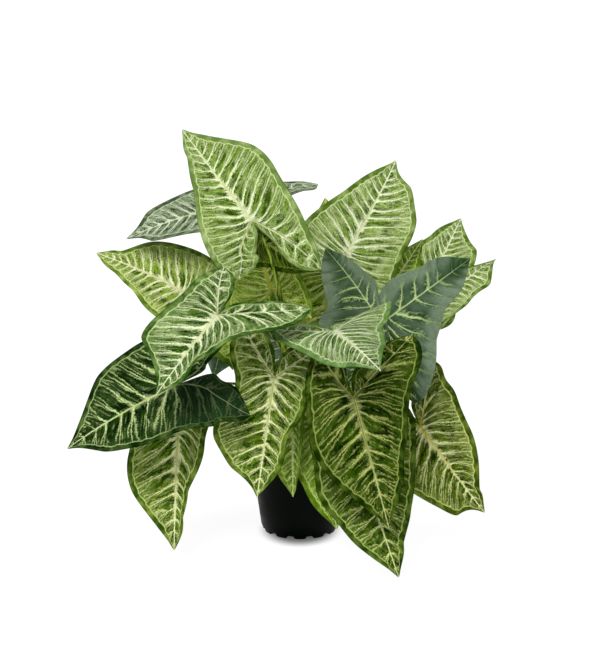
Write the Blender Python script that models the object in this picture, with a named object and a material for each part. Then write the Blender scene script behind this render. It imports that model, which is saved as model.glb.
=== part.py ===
"""Potted syngonium: arrowhead leaves on slender petioles in a plain nursery pot.

Metres, +Z up. The pot rests on z = 0 with its axis through the origin, and the
show side of the plant faces -Y.
"""
import math

import bmesh
import bpy
from mathutils import Vector

# Pot
POT_HEIGHT = 0.095
POT_TOP_RADIUS = 0.0525
POT_BASE_RADIUS = 0.0400
POT_RIM_HEIGHT = 0.0085
POT_RIM_STEP = 0.0018
POT_WALL = 0.0014
POT_FLOOR = 0.0052
FOOT_RADIUS = 0.0375
FOOT_RISE = 0.0030
BOSS_RADIUS = 0.0140
NOTCH_COUNT = 12
NOTCH_WIDTH = 0.0080
DRAIN_COUNT = 6
DRAIN_RADIUS = 0.0030
POT_SEGMENTS = 48

# Soil
SOIL_LEVEL = 0.0865
SOIL_GAP = 0.0003
HOLE_DEPTH = 0.0250

# Stems and petioles
STEM_RADIUS = 0.0025
STEM_CIRCLE = 0.0140
PETIOLE_RADIUS = 0.0012
PETIOLE_STEPS = 9
TUBE_SIDES = 6
JOIN_GAP = 0.0003

# Leaf blade, in shares of the length from the petiole junction to the tip
BLADE_THICKNESS = 0.0008
JUNCTION_SHARE = 0.36
LOBE_TIP = (0.340, -0.570)
LOBE_BEND = (0.205, -0.240)
MARGIN = (
    (0.00, 0.340, -0.570),
    (0.10, 0.408, -0.440),
    (0.20, 0.452, -0.270),
    (0.36, 0.475, -0.020),
    (0.46, 0.462, 0.150),
    (0.56, 0.420, 0.330),
    (0.66, 0.345, 0.500),
    (0.76, 0.245, 0.660),
    (0.86, 0.135, 0.810),
    (0.94, 0.050, 0.920),
    (1.00, 0.000, 1.000),
)
SINUS = (
    (0.00, 0.000, -0.030),
    (0.25, 0.014, -0.150),
    (0.50, 0.045, -0.300),
    (0.75, 0.120, -0.450),
    (0.90, 0.220, -0.540),
    (1.00, 0.340, -0.570),
)
MARGIN_MARKS = ((0.470, 0.050, 0.28), (0.345, 0.500, 0.26), (0.190, 0.740, 0.16), (0.440, -0.300, 0.16))
SINUS_MARKS = ((0.030, -0.200, 0.16), (0.110, -0.430, 0.12))
LOBE_COLUMNS = 5
BLADE_COLUMNS = 8
BLADE_ROWS = 2

# Leaf colours, and the leaves that are not of the pale kind
LEAF_COLOURS = {
    "leaf_cream": (0.38, 0.50, 0.22),
    "leaf_green": (0.22, 0.34, 0.09),
    "leaf_deep": (0.06, 0.12, 0.04),
    "leaf_young": (0.30, 0.40, 0.07),
}
LEAF_SLOTS = {
    "leaf_under_top": "leaf_deep",
    "leaf_low_left": "leaf_deep",
    "leaf_inner_left": "leaf_young",
    "leaf_inner_mid": "leaf_young",
    "leaf_peeking": "leaf_young",
    "leaf_slender": "leaf_young",
    "leaf_front_right": "leaf_green",
    "leaf_lowest": "leaf_green",
    "leaf_low_mid": "leaf_green",
    "leaf_folded": "leaf_green",
    "leaf_mid_left": "leaf_green",
    "leaf_hanging_left": "leaf_green",
    "leaf_low_right": "leaf_green",
    "leaf_back_left": "leaf_green",
    "leaf_back_mid": "leaf_green",
    "leaf_back_right": "leaf_green",
    "leaf_back_low": "leaf_green",
}

# Sight line used to place the leaves: a sheet across the pot's axis, as it is
# seen from the show side, read in millimetres from its left and top edges
EYE = Vector((0.002, -1.6564, 0.5874))
SIGHT_TILT = math.radians(13.0)
SIGHT_REACH = 1700.0
SHEET_CENTRE = (302.0, 332.5)

# Leaves: name, stem, junction, tip, right lobe, left lobe (each across, down, depth),
# right margin and left margin (shoulder and flank, across and down), and the bending
LEAVES = (
    ("leaf_top", "stem_mid", (251, 220, -30), (182, 129, 5), (322, 269, -55), (239, 280, -42),
     ((285, 186), (251, 144), None, (306, 225), (275, 242)),
     ((205, 247), (193, 191), (187, 158), None, (251, 252)), {"via": (273, 267, -25)}),
    ("leaf_under_top", "stem_mid", (262, 240, -15), (316, 271, -31), (255, 260, -14), (262, 216, -17),
     ((268, 267), (287, 273)), (None, None), {"via": (279, 282, -12)}),
    ("leaf_far_left", "stem_back", (245, 203, 42), (126, 239, 26), (318, 184, 92), (288, 228, 38),
     ((235, 185), (178, 196), (146, 213), (284, 182), None, (302, 191)), (None, (190, 233), (152, 241)),
     {"left": 0.75, "right": 0.8}),
    ("leaf_left", "stem_left", (184, 292, 5), (96, 253, 45), (232, 285, 24), (207, 340, -20),
     ((197, 251), (153, 241), (121, 251)), ((163, 322), (132, 290), (115, 273)), {}),
    ("leaf_front_left", "stem_left", (217, 316, -96), (156, 395, -145), (224, 267, -80), (311, 309, -108),
     ((184, 293), (141, 337)), ((237, 338), (193, 364)), {}),
    ("leaf_low_left", "stem_left", (177, 385, -80), (67, 449, -95), (229, 324, -44), (251, 416, -119),
     ((141, 343), (97, 377), None, None, (195, 376), (208, 362)),
     ((198, 427), (139, 446), (104, 452), (222, 421), (209, 374), (235, 387)), {}),
    ("leaf_inner_left", "stem_mid", (271, 289, 8), (247, 224, 0), (312, 318, -10), (233, 370, -28),
     ((298, 270), None), ((227, 300), (231, 264), None, (213, 350)), {}),
    ("leaf_top_right", "stem_right", (347, 253, 5), (396, 160, 50), (372, 312, -5), (308, 262, -15),
     ((396, 274), (416, 222), (411, 187)), ((304, 223), (344, 191)), {}),
    ("leaf_turned_mid", "stem_right", (372, 309, -68), (325, 248, -122), (332, 364, -56), (388, 350, -60),
     (None, (327, 303)), ((379, 298), (364, 271)), {"left": 0.5, "via": (360, 378, -74)}),
    ("leaf_turned_right", "stem_right", (386, 320, -45), (471, 258, -88), (340, 340, -30), (414, 404, -60),
     ((372, 305), (417, 269)), ((436, 364), (446, 308)), {}),
    ("leaf_front_mid", "stem_front", (334, 331, -115), (381, 371, -200), (275, 330, -80), (387, 302, -100),
     ((312, 358), (344, 368)), ((386, 322), (386, 345)), {"via": (341, 354, -78)}),
    ("leaf_front_right", "stem_front", (354, 399, -125), (389, 528, -172), (318, 344, -98), (413, 334, -98),
     ((307, 413), (329, 477)), ((411, 392), (404, 457)), {}),
    ("leaf_lowest", "stem_front", (356, 455, -95), (399, 578, -172), (320, 402, -76), (398, 400, -84),
     ((314, 466), (337, 522), (359, 548)), ((416, 443), (412, 508), (404, 543)), {"via": (366, 405, -55)}),
    ("leaf_low_mid", "stem_front", (318, 430, -58), (337, 530, -84), (293, 395, -44), (350, 398, -46),
     ((295, 442), (303, 486)), (None, None), {}),
    ("leaf_folded", "stem_mid", (293, 398, -70), (293, 497, -86), (280, 360, -60), (306, 362, -62),
     ((274, 408), (275, 452)), (None, None), {"left": 0.2}),
    ("leaf_mid_left", "stem_left", (274, 379, -84), (257, 498, -112), (243, 324, -60), (320, 346, -66),
     ((236, 385), (214, 437), (231, 468)), ((309, 391), (288, 438)), {"via": (258, 384, -62)}),
    ("leaf_hanging_left", "stem_left", (178, 428, -62), (174, 551, -100), (145, 390, -45), (206, 390, -45),
     ((131, 441), (132, 492)), ((206, 438), (189, 491), (183, 518)), {"left": 0.72}),
    ("leaf_low_right", "stem_right", (421, 427, -45), (485, 513, -80), (383, 455, -35), (434, 360, -22),
     (None, (431, 503), (457, 516)), ((459, 403), (478, 453), (480, 489), (445, 379)), {"right": 1.15}),
    ("leaf_upper_right", "stem_back", (424, 292, 100), (461, 218, 165), (440, 330, 85), (392, 305, 85),
     ((456, 290), (477, 252)), (None, (431, 235)), {"left": 0.85, "via": (385, 374, 62)}),
    ("leaf_far_right", "stem_right", (435, 312, 40), (496, 259, 100), (410, 350, -26), (390, 334, 42),
     ((450, 317), (472, 297), (491, 283)), (None, (452, 268)), {}),
    ("leaf_inner_mid", "stem_mid", (328, 276, 32), (320, 385, 5), (302, 252, 45), (352, 258, 45),
     (None, None), ((352, 290), (345, 330)), {}),
    ("leaf_peeking", "stem_back", (335, 305, 72), (325, 197, 92), (365, 355, 55), (300, 350, 55),
     (None, None), (None, (298, 238)), {"via": (333, 366, 62)}),
    ("leaf_slender", "stem_back", (384, 300, 22), (423, 239, 55), (402, 340, 8), (361, 334, 14),
     (None, None), (None, None), {"right": 0.62, "left": 0.62}),
    ("leaf_back_low", "stem_back", (338, 392, 98), (366, 470, 146), (368, 358, 90), (310, 366, 92),
     (None, None), (None, None), {}),
    ("leaf_back_left", "stem_back", (235, 290, 95), (213, 378, 140), (282, 268, 72), (205, 262, 92),
     (None, None), (None, None), {}),
    ("leaf_back_mid", "stem_back", (296, 345, 100), (285, 430, 165), (326, 302, 90), (272, 300, 90),
     (None, None), (None, None), {}),
    ("leaf_back_right", "stem_back", (350, 290, 112), (400, 355, 170), (345, 232, 100), (305, 272, 100),
     (None, None), (None, None), {"via": (338, 380, 72)}),
)


def seen(across, down, depth):
    """The point at this depth behind the pot's axis on the sight line through the sheet."""
    right = (across - SHEET_CENTRE[0]) / SIGHT_REACH
    up = (SHEET_CENTRE[1] - down) / SIGHT_REACH
    tilt_cos = math.cos(SIGHT_TILT)
    tilt_sin = math.sin(SIGHT_TILT)
    ray = Vector((right, tilt_cos + up * tilt_sin, up * tilt_cos - tilt_sin))
    return EYE + ray * ((depth / 1000.0 - EYE.y) / ray.y)


def along(rows, at):
    """Smooth curve through rows of (share, x, y)."""
    last = len(rows) - 1
    k = 0
    while k < last - 1 and at > rows[k + 1][0]:
        k += 1
    a = rows[k]
    b = rows[k + 1]
    before = rows[max(k - 1, 0)]
    after = rows[min(k + 2, last)]
    span = b[0] - a[0]
    t = (at - a[0]) / span
    out = []
    for c in (1, 2):
        slope_a = (b[c] - before[c]) / (b[0] - before[0]) * span
        slope_b = (after[c] - a[c]) / (after[0] - a[0]) * span
        out.append(
            a[c] * (2 * t**3 - 3 * t**2 + 1)
            + slope_a * (t**3 - 2 * t**2 + t)
            + b[c] * (3 * t**2 - 2 * t**3)
            + slope_b * (t**3 - t**2)
        )
    return out


def spine(share):
    """Lobe tip, junction, leaf tip: the line of main veins of the right half."""
    if share >= JUNCTION_SHARE:
        return (0.0, (share - JUNCTION_SHARE) / (1.0 - JUNCTION_SHARE))
    s = 1.0 - share / JUNCTION_SHARE
    bend = 2.0 * s * (1.0 - s)
    return (LOBE_BEND[0] * bend + LOBE_TIP[0] * s * s, LOBE_BEND[1] * bend + LOBE_TIP[1] * s * s)


def smooth(t):
    t = min(max(t, 0.0), 1.0)
    return t * t * (3.0 - 2.0 * t)


class Blade:
    """The bent mid-surface of one leaf."""

    def __init__(self, row):
        junction, tip, right_lobe, left_lobe = [seen(*p) for p in row[2:6]]
        bend = row[8]
        self.fold = math.radians(bend.get("fold", 9.0))
        self.arch = bend.get("arch", 0.18)
        self.droop = bend.get("droop", 0.35)
        self.twist = math.radians(bend.get("twist", 0.0))
        self.wave = bend.get("wave", 0.012)
        self.phase = bend.get("phase", 0.0)
        self.width = (bend.get("left", 1.0), bend.get("right", 1.0))
        self.junction = junction
        run = tip - junction
        chord = self.bent(0.0, 1.0)
        self.scale = run.length / chord.length
        far = run.normalized()
        across = right_lobe - left_lobe
        across = (across - far * across.dot(far)).normalized()
        face = across.cross(far)
        roll = math.radians(bend.get("roll", 0.0))
        face = face * math.cos(roll) + across * math.sin(roll)
        across = far.cross(face)
        lift = Vector((0.0, 0.0, 1.0))
        near = chord.normalized()
        lift = (lift - near * lift.dot(near)).normalized()
        side = near.cross(lift)
        self.axes = ((side, across), (near, far), (lift, face))
        self.face = face
        self.far = far
        self.shift = [Vector(), Vector()]
        for k, lobe in ((0, left_lobe), (1, right_lobe)):
            x = LOBE_TIP[0] * (1 if k else -1)
            self.shift[k] = lobe - self.placed(x, LOBE_TIP[1])
        self.pulls = [[], []]
        for k, margin in ((0, row[7]), (1, row[6])):
            for place, mark in zip((*MARGIN_MARKS, *SINUS_MARKS), margin):
                if mark:
                    here = self.at(place[0] * (1 if k else -1), place[1])
                    self.pulls[k].append((place, seen(mark[0], mark[1], here.y * 1000.0) - here))

    def bent(self, x, y):
        """Flat blade point to bent blade point, both in shares of the length."""
        k = 1 if x > 0 else 0
        share = self.width[k]
        d = share * abs(x) + (1.0 - share) * 0.03 * (1.0 - math.exp(-abs(x) / 0.03))
        x = math.copysign(d, x)
        crease = math.sqrt(d * d + 0.0016) - 0.04
        z = math.sin(self.fold) * crease - self.arch * d * d
        x = x * math.cos(self.fold)
        edge = min(d / 0.46, 1.0) ** 2
        turn = 7.0 * y + self.phase + (2.1 if k else 0.0)
        z += self.wave * edge * math.sin(turn)
        roll = self.twist * y
        x, z = x * math.cos(roll) + z * math.sin(roll), z * math.cos(roll) - x * math.sin(roll)
        curve = self.droop * y
        if y < 0:
            curve *= 0.6
        if abs(curve) > 1e-6:
            radius = y / curve
            return Vector((x, (radius + z) * math.sin(curve), (radius + z) * math.cos(curve) - radius))
        return Vector((x, y, z))

    def placed(self, x, y):
        p = self.bent(x, y)
        out = self.junction.copy()
        for mine, world in self.axes:
            out += world * (p.dot(mine) * self.scale)
        return out

    def at(self, x, y):
        """World point of the flat blade point, with the lobes drawn to their places."""
        p = self.placed(x, y)
        k = 1 if x > 0 else 0
        span = LOBE_TIP[0] ** 2 + LOBE_TIP[1] ** 2
        s = (abs(x) * LOBE_TIP[0] + y * LOBE_TIP[1]) / span
        s = max(s, 0.0) ** 1.25 * smooth(abs(x) / 0.06)
        p = p + self.shift[k] * s
        for place, pull in self.pulls[k]:
            near = ((y - place[1]) / place[2]) ** 2
            reach = min(abs(x) / place[0], 1.0) ** 1.4
            if place in SINUS_MARKS:
                near += ((abs(x) - place[0]) / place[2]) ** 2
                reach = smooth(abs(x) / 0.04)
            p = p + pull * (reach * math.exp(-near))
        return p


def flat_grid():
    """Flat points and triangles of both halves, merged where they meet."""
    index = {}
    points = []
    triangles = []

    def corner(x, y):
        key = (round(x, 5), round(y, 5))
        if key not in index:
            index[key] = len(points)
            points.append((x, y))
        return index[key]

    def sheet(columns, flip):
        for left, right in zip(columns, columns[1:]):
            for r in range(len(left) - 1):
                ring = [left[r], right[r], right[r + 1], left[r + 1]]
                if flip:
                    ring = [left[r], left[r + 1], right[r + 1], right[r]]
                for tri in ((ring[0], ring[1], ring[2]), (ring[0], ring[2], ring[3])):
                    if len(set(tri)) == 3:
                        triangles.append(tri)

    shares = [JUNCTION_SHARE * k / LOBE_COLUMNS for k in range(LOBE_COLUMNS)]
    shares += [
        JUNCTION_SHARE + (1.0 - JUNCTION_SHARE) * k / BLADE_COLUMNS for k in range(BLADE_COLUMNS + 1)
    ]
    for sign in (1, -1):
        outer = []
        for share in shares:
            a = spine(share)
            b = along(MARGIN, share)
            column = []
            for r in range(BLADE_ROWS + 1):
                v = r / BLADE_ROWS
                column.append(corner(sign * (a[0] + (b[0] - a[0]) * v), a[1] + (b[1] - a[1]) * v))
            outer.append(column)
        sheet(outer, sign > 0)
        inner = []
        for k in range(LOBE_COLUMNS + 1):
            s = k / LOBE_COLUMNS
            a = spine(JUNCTION_SHARE * (1.0 - s))
            b = along(SINUS, s)
            column = []
            for r in range(BLADE_ROWS + 1):
                v = r / BLADE_ROWS
                column.append(corner(sign * (a[0] + (b[0] - a[0]) * v), a[1] + (b[1] - a[1]) * v))
            inner.append(column)
        sheet(inner, sign > 0)
    return points, triangles


def material(name, colour, roughness):
    found = bpy.data.materials.get(name)
    if found:
        return found
    made = bpy.data.materials.new(name)
    made.use_nodes = True
    shader = made.node_tree.nodes["Principled BSDF"]
    shader.inputs["Base Color"].default_value = (*colour, 1.0)
    shader.inputs["Roughness"].default_value = roughness
    made.diffuse_color = (*colour, 1.0)
    return made


def add(name, points, faces, paint):
    mesh = bpy.data.meshes.new(name)
    mesh.from_pydata([tuple(p) for p in points], [], faces)
    mesh.validate()
    bm = bmesh.new()
    bm.from_mesh(mesh)
    bmesh.ops.recalc_face_normals(bm, faces=bm.faces)
    bm.to_mesh(mesh)
    bm.free()
    for polygon in mesh.polygons:
        polygon.use_smooth = True
    mesh.set_sharp_from_angle(angle=math.radians(40.0))
    mesh.materials.append(paint)
    made = bpy.data.objects.new(name, mesh)
    bpy.context.scene.collection.objects.link(made)
    return made


def leaf(name, blade, grid, paint):
    """Closed thin blade with the same triangles on both faces."""
    flat, triangles = grid
    mid = [blade.at(x, y) for x, y in flat]
    normals = [Vector() for _ in mid]
    edges = {}
    for tri in triangles:
        n = (mid[tri[1]] - mid[tri[0]]).cross(mid[tri[2]] - mid[tri[0]])
        for k in range(3):
            normals[tri[k]] += n
            edges[(tri[k], tri[(k + 1) % 3])] = True
    half = BLADE_THICKNESS / 2.0
    count = len(mid)
    points = [p + n.normalized() * half for p, n in zip(mid, normals)]
    points += [p - n.normalized() * half for p, n in zip(mid, normals)]
    faces = list(triangles)
    faces += [(a + count, c + count, b + count) for a, b, c in triangles]
    for a, b in edges:
        if (b, a) not in edges:
            faces.append((b, a, a + count))
            faces.append((b, a + count, b + count))
    return add(name, points, faces, paint)


def tube(points, radii, sides):
    """Round bar along points, as points and faces."""
    out = []
    faces = []
    guide = Vector((0.0, 1.0, 0.0))
    for k, p in enumerate(points):
        before = points[max(k - 1, 0)]
        after = points[min(k + 1, len(points) - 1)]
        heading = (after - before).normalized()
        guide = (guide - heading * guide.dot(heading)).normalized()
        other = heading.cross(guide)
        for s in range(sides):
            turn = 2.0 * math.pi * s / sides
            out.append(p + (guide * math.cos(turn) + other * math.sin(turn)) * radii[k])
    for k in range(len(points) - 1):
        for s in range(sides):
            a = k * sides + s
            b = k * sides + (s + 1) % sides
            faces.append((a, b, b + sides, a + sides))
    faces.append(tuple(reversed(range(sides))))
    faces.append(tuple(range(len(out) - sides, len(out))))
    return out, faces


def boolean(target, others, operation):
    """Join or cut with a collection of others, applied, and the others removed."""
    helper = bpy.data.collections.new("helper")
    bpy.context.scene.collection.children.link(helper)
    for other in others:
        bpy.context.scene.collection.objects.unlink(other)
        helper.objects.link(other)
        other.hide_render = True
        other.display_type = "WIRE"
    modifier = target.modifiers.new("join", "BOOLEAN")
    modifier.operation = operation
    modifier.operand_type = "COLLECTION"
    modifier.collection = helper
    modifier.solver = "EXACT"
    bpy.context.view_layer.update()
    graph = bpy.context.evaluated_depsgraph_get()
    mesh = bpy.data.meshes.new_from_object(target.evaluated_get(graph))
    target.modifiers.clear()
    target.data = mesh
    mesh.name = target.name
    for other in others:
        bpy.data.objects.remove(other)
    bpy.data.collections.remove(helper)


def lathe(name, profile, segments, paint):
    """Turned solid from a closed profile of (radius, height), ends on the axis."""
    points = []
    rings = []
    for radius, height in profile:
        if radius == 0.0:
            rings.append([len(points)] * segments)
            points.append(Vector((0.0, 0.0, height)))
            continue
        ring = []
        for s in range(segments):
            turn = 2.0 * math.pi * s / segments
            ring.append(len(points))
            points.append(Vector((radius * math.cos(turn), radius * math.sin(turn), height)))
        rings.append(ring)
    faces = []
    for low, high in zip(rings, rings[1:]):
        for s in range(segments):
            n = (s + 1) % segments
            corners = []
            for c in (low[s], low[n], high[n], high[s]):
                if c not in corners:
                    corners.append(c)
            if len(corners) > 2:
                faces.append(tuple(corners))
    return add(name, points, faces, paint)


def wall_radius(height):
    """Outer radius of the pot's tapered wall."""
    low = 0.006
    high = POT_HEIGHT - POT_RIM_HEIGHT
    share = (height - low) / (high - low)
    return POT_BASE_RADIUS + (POT_TOP_RADIUS - POT_RIM_STEP - POT_BASE_RADIUS) * share


def build_pot(paint):
    shoulder = POT_HEIGHT - POT_RIM_HEIGHT
    lip = POT_TOP_RADIUS
    profile = (
        (0.0, 0.0),
        (BOSS_RADIUS, 0.0),
        (BOSS_RADIUS + 0.0012, FOOT_RISE),
        (FOOT_RADIUS - 0.0040, FOOT_RISE),
        (FOOT_RADIUS - 0.0030, 0.0),
        (FOOT_RADIUS, 0.0),
        (POT_BASE_RADIUS, 0.0060),
        (wall_radius(shoulder), shoulder),
        (lip - 0.0002, shoulder + 0.0010),
        (lip, POT_HEIGHT - 0.0012),
        (lip - 0.0006, POT_HEIGHT),
        (lip - 0.0014, POT_HEIGHT),
        (lip - 0.0019, POT_HEIGHT - 0.0010),
        (wall_radius(shoulder) - POT_WALL, shoulder),
        (wall_radius(POT_FLOOR + 0.002) - POT_WALL, POT_FLOOR + 0.002),
        (wall_radius(POT_FLOOR) - POT_WALL - 0.0020, POT_FLOOR),
        (0.0, POT_FLOOR),
    )
    pot = lathe("pot", profile, POT_SEGMENTS, paint)
    cutters = []
    for k in range(NOTCH_COUNT):
        turn = 2.0 * math.pi * (k + 0.5) / NOTCH_COUNT
        out = Vector((math.cos(turn), math.sin(turn), 0.0))
        side = Vector((-math.sin(turn), math.cos(turn), 0.0)) * (NOTCH_WIDTH / 2.0)
        low = Vector((0.0, 0.0, -0.0010))
        high = Vector((0.0, 0.0, FOOT_RISE - 0.0003))
        corners = []
        for height in (low, high):
            squeeze = 1.0 if height is low else 0.7
            for reach in (FOOT_RADIUS - 0.0050, POT_BASE_RADIUS + 0.0030):
                corners.append(out * reach - side * squeeze + height)
                corners.append(out * reach + side * squeeze + height)
        faces = [(0, 1, 3, 2), (4, 6, 7, 5), (0, 4, 5, 1), (2, 3, 7, 6), (0, 2, 6, 4), (1, 5, 7, 3)]
        cutters.append(add("notch_%d" % k, corners, faces, paint))
    for k in range(DRAIN_COUNT):
        turn = 2.0 * math.pi * k / DRAIN_COUNT
        centre = Vector((math.cos(turn), math.sin(turn), 0.0)) * 0.0245
        ends = [centre + Vector((0.0, 0.0, -0.002)), centre + Vector((0.0, 0.0, POT_FLOOR + 0.002))]
        points, faces = tube(ends, [DRAIN_RADIUS] * 2, 12)
        cutters.append(add("drain_%d" % k, points, faces, paint))
    boolean(pot, cutters, "DIFFERENCE")
    return pot


def build_soil(paint, feet):
    gap = SOIL_GAP
    top = SOIL_LEVEL
    profile = (
        (0.0, POT_FLOOR + gap),
        (wall_radius(POT_FLOOR) - POT_WALL - 0.0024, POT_FLOOR + gap),
        (wall_radius(POT_FLOOR + 0.002) - POT_WALL - gap, POT_FLOOR + 0.0024),
        (wall_radius(top - 0.002) - POT_WALL - gap, top - 0.0020),
        (wall_radius(top) - POT_WALL - 0.0030, top - 0.0004),
        (0.038, top + 0.0004),
        (0.026, top - 0.0004),
        (0.008, top + 0.0004),
        (0.0, top + 0.0004),
    )
    soil = lathe("soil", profile, 36, paint)
    cutters = []
    for k, foot in enumerate(feet):
        low = Vector((foot.x, foot.y, top - HOLE_DEPTH))
        high = Vector((foot.x, foot.y, top + 0.010))
        points, faces = tube([low, high], [STEM_RADIUS + 0.0006] * 2, 12)
        cutters.append(add("hole_%d" % k, points, faces, paint))
    boolean(soil, cutters, "DIFFERENCE")
    return soil


# Stems: foot angle in degrees, crown height, lean of the crown
STEMS = {
    "stem_front": (-75.0, 0.135, (0.004, -0.012)),
    "stem_left": (-150.0, 0.140, (-0.012, -0.006)),
    "stem_right": (-15.0, 0.140, (0.012, -0.004)),
    "stem_mid": (165.0, 0.150, (0.006, -0.002)),
    "stem_back": (75.0, 0.145, (0.002, 0.012)),
}


def bezier(a, b, c, d, steps):
    out = []
    for k in range(steps + 1):
        t = k / steps
        r = 1.0 - t
        out.append(a * r**3 + b * (3 * r * r * t) + c * (3 * r * t * t) + d * t**3)
    return out


def stem_line(name):
    """Straight foot in the soil, then a bar leaning to its crown."""
    angle, height, lean = STEMS[name]
    turn = math.radians(angle)
    x = STEM_CIRCLE * math.cos(turn)
    y = STEM_CIRCLE * math.sin(turn)
    low = Vector((x, y, SOIL_LEVEL - HOLE_DEPTH + JOIN_GAP))
    mouth = Vector((x, y, SOIL_LEVEL + 0.004))
    crown = Vector((x + lean[0], y + lean[1], height))
    rise = Vector((0.0, 0.0, 0.4 * (height - mouth.z)))
    return [low] + bezier(mouth, mouth + rise, mouth.lerp(crown, 0.7), crown, 4)


def petiole_line(start, blade, bend):
    """Curve from the stem to just under the junction, by way of a point if one is given."""
    leave = (-blade.face * 0.75 - blade.far * 0.65).normalized()
    slant = PETIOLE_RADIUS * abs(leave.dot(blade.far))
    end = blade.junction - blade.face * (BLADE_THICKNESS / 2.0 + JOIN_GAP + slant)
    reach = (end - start).length
    out = Vector((end.x - start.x, end.y - start.y, 0.0)) * 0.25 + Vector((0.0, 0.0, reach * 0.30))
    if "via" not in bend:
        return bezier(start, start + out, end + leave * reach * 0.30, end, PETIOLE_STEPS)
    via = seen(*bend["via"])
    pull = (end - start).normalized()
    near = (via - start).length * 0.35
    far = (end - via).length * 0.35
    rise = (out.normalized() + (via - start).normalized()).normalized()
    half = PETIOLE_STEPS // 2 + 1
    first = bezier(start, start + rise * near, via - pull * near, via, half)
    return first + bezier(via, via + pull * far, end + leave * far, end, half)[1:]


def petiole_lines(name, members):
    """Centre lines of one stem's petioles, for members of (leaf, blade, bending)."""
    line = stem_line(name)
    last = max(len(members) - 1, 1)
    out = []
    for k, (who, blade, bend) in enumerate(members):
        start = line[-2].lerp(line[-1], 0.2 + 0.5 * k / last)
        out.append((who, petiole_line(start, blade, bend)))
    return out


def build_stem(name, members, paint):
    """One stem and its petioles joined to one solid."""
    line = stem_line(name)
    points, faces = tube(line, [STEM_RADIUS] * len(line), 8)
    stem = add(name, points, faces, paint)
    petioles = []
    for who, path in petiole_lines(name, members):
        steps = len(path) - 1
        radii = [PETIOLE_RADIUS * (1.25 - 0.25 * step / steps) for step in range(steps + 1)]
        points, faces = tube(path, radii, TUBE_SIDES)
        petioles.append(add("petiole_" + who, points, faces, paint))
    boolean(stem, petioles, "UNION")


def main():
    for old in list(bpy.data.objects):
        bpy.data.objects.remove(old)
    black = material("pot_black", (0.012, 0.015, 0.014), 0.45)
    earth = material("soil_brown", (0.045, 0.028, 0.018), 0.95)
    green = material("petiole_green", (0.16, 0.27, 0.03), 0.50)

    build_pot(black)
    build_soil(earth, [stem_line(name)[0] for name in STEMS])

    grid = flat_grid()
    members = {name: [] for name in STEMS}
    for row in LEAVES:
        blade = Blade(row)
        slot = LEAF_SLOTS.get(row[0], "leaf_cream")
        leaf(row[0], blade, grid, material(slot, LEAF_COLOURS[slot], 0.55))
        members[row[1]].append((row[0], blade, row[8]))
    for name in STEMS:
        build_stem(name, members[name], green)


main()
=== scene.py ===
"""Looks of the potted syngonium: printed leaf blades, petioles, pot, soil and a pale studio."""
import math
import random
from collections import namedtuple

import bpy
import numpy as np
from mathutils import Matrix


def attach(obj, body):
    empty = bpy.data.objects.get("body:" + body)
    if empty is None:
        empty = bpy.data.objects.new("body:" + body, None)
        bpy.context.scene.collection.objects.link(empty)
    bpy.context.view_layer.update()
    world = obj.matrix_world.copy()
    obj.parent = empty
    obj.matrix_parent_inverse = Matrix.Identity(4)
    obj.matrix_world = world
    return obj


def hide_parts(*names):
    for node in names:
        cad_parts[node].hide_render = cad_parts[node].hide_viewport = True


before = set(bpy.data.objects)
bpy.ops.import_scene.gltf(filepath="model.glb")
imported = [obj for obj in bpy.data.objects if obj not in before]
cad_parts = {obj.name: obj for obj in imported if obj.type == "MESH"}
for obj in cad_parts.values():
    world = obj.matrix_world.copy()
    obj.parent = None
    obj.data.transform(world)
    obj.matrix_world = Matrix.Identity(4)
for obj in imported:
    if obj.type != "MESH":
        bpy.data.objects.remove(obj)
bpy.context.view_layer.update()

# Pot, in metres
POT_HEIGHT = 0.095
POT_TOP_RADIUS = 0.0525
POT_BASE_RADIUS = 0.0400
POT_BASE_HEIGHT = 0.006
POT_RIM_HEIGHT = 0.0085
POT_RIM_STEP = 0.0018
POT_SHOULDER = POT_HEIGHT - POT_RIM_HEIGHT
POT_WALL = 0.0014
POT_FLOOR = 0.0052
FOOT_RADIUS = 0.0375
FOOT_RISE = 0.0030
FOOT_RING = 0.0035
BOSS_RADIUS = 0.0140
NOTCH_COUNT = 12
NOTCH_WIDTH = 0.0080
NOTCH_SLOPE = 0.0012
NOTCH_LIP = 0.0003
NOTCH_STEPS = 14
SHARP_FROM = math.radians(50.0)

# Soil and its crumbs, in metres
SOIL_LEVEL = 0.0865
SOIL_SIDE_GAP = 0.0006
SOIL_DEPTH = 0.012
SOIL_GRID = (46, 180)
SOIL_SINK = 0.0006
SOIL_SWELL = 0.0005
SOIL_GRAIN = 0.00035
SOIL_EDGE_DROP = 0.0012
SOIL_EDGE_CURVE = 6
SOIL_WAVES = ((620, 3, 410), (570, 2, 350))
SOIL_SEED = 11
HOLE_DEPTH = 0.0250
CRUMB_COUNT = 900
CRUMB_SIZES = (0.0003, 0.0010)
CRUMB_SINK = 0.0002
CRUMB_FLATNESS = 0.7
CRUMB_CLEARANCE = 0.0045
CRUMB_SPREAD = 0.98
CRUMB_PLAIN_SHARE = 0.9
CRUMB_LARGE = 1.5
CRUMB_ROUGHNESS = (0.6, 1.1)
CRUMB_POINTS = (
    (1, 1, 1), (-1, -1, 1), (-1, 1, -1), (1, -1, -1),
    (1.2, 0, 0), (-1.2, 0, 0), (0, 1.2, 0), (0, -1.2, 0),
)
CRUMB_FACES = (
    (0, 4, 6), (0, 2, 6), (0, 1, 4), (1, 4, 7), (1, 5, 7), (0, 1, 2),
    (1, 2, 5), (2, 5, 6), (3, 4, 6), (3, 4, 7), (3, 5, 6), (3, 5, 7),
)

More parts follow.
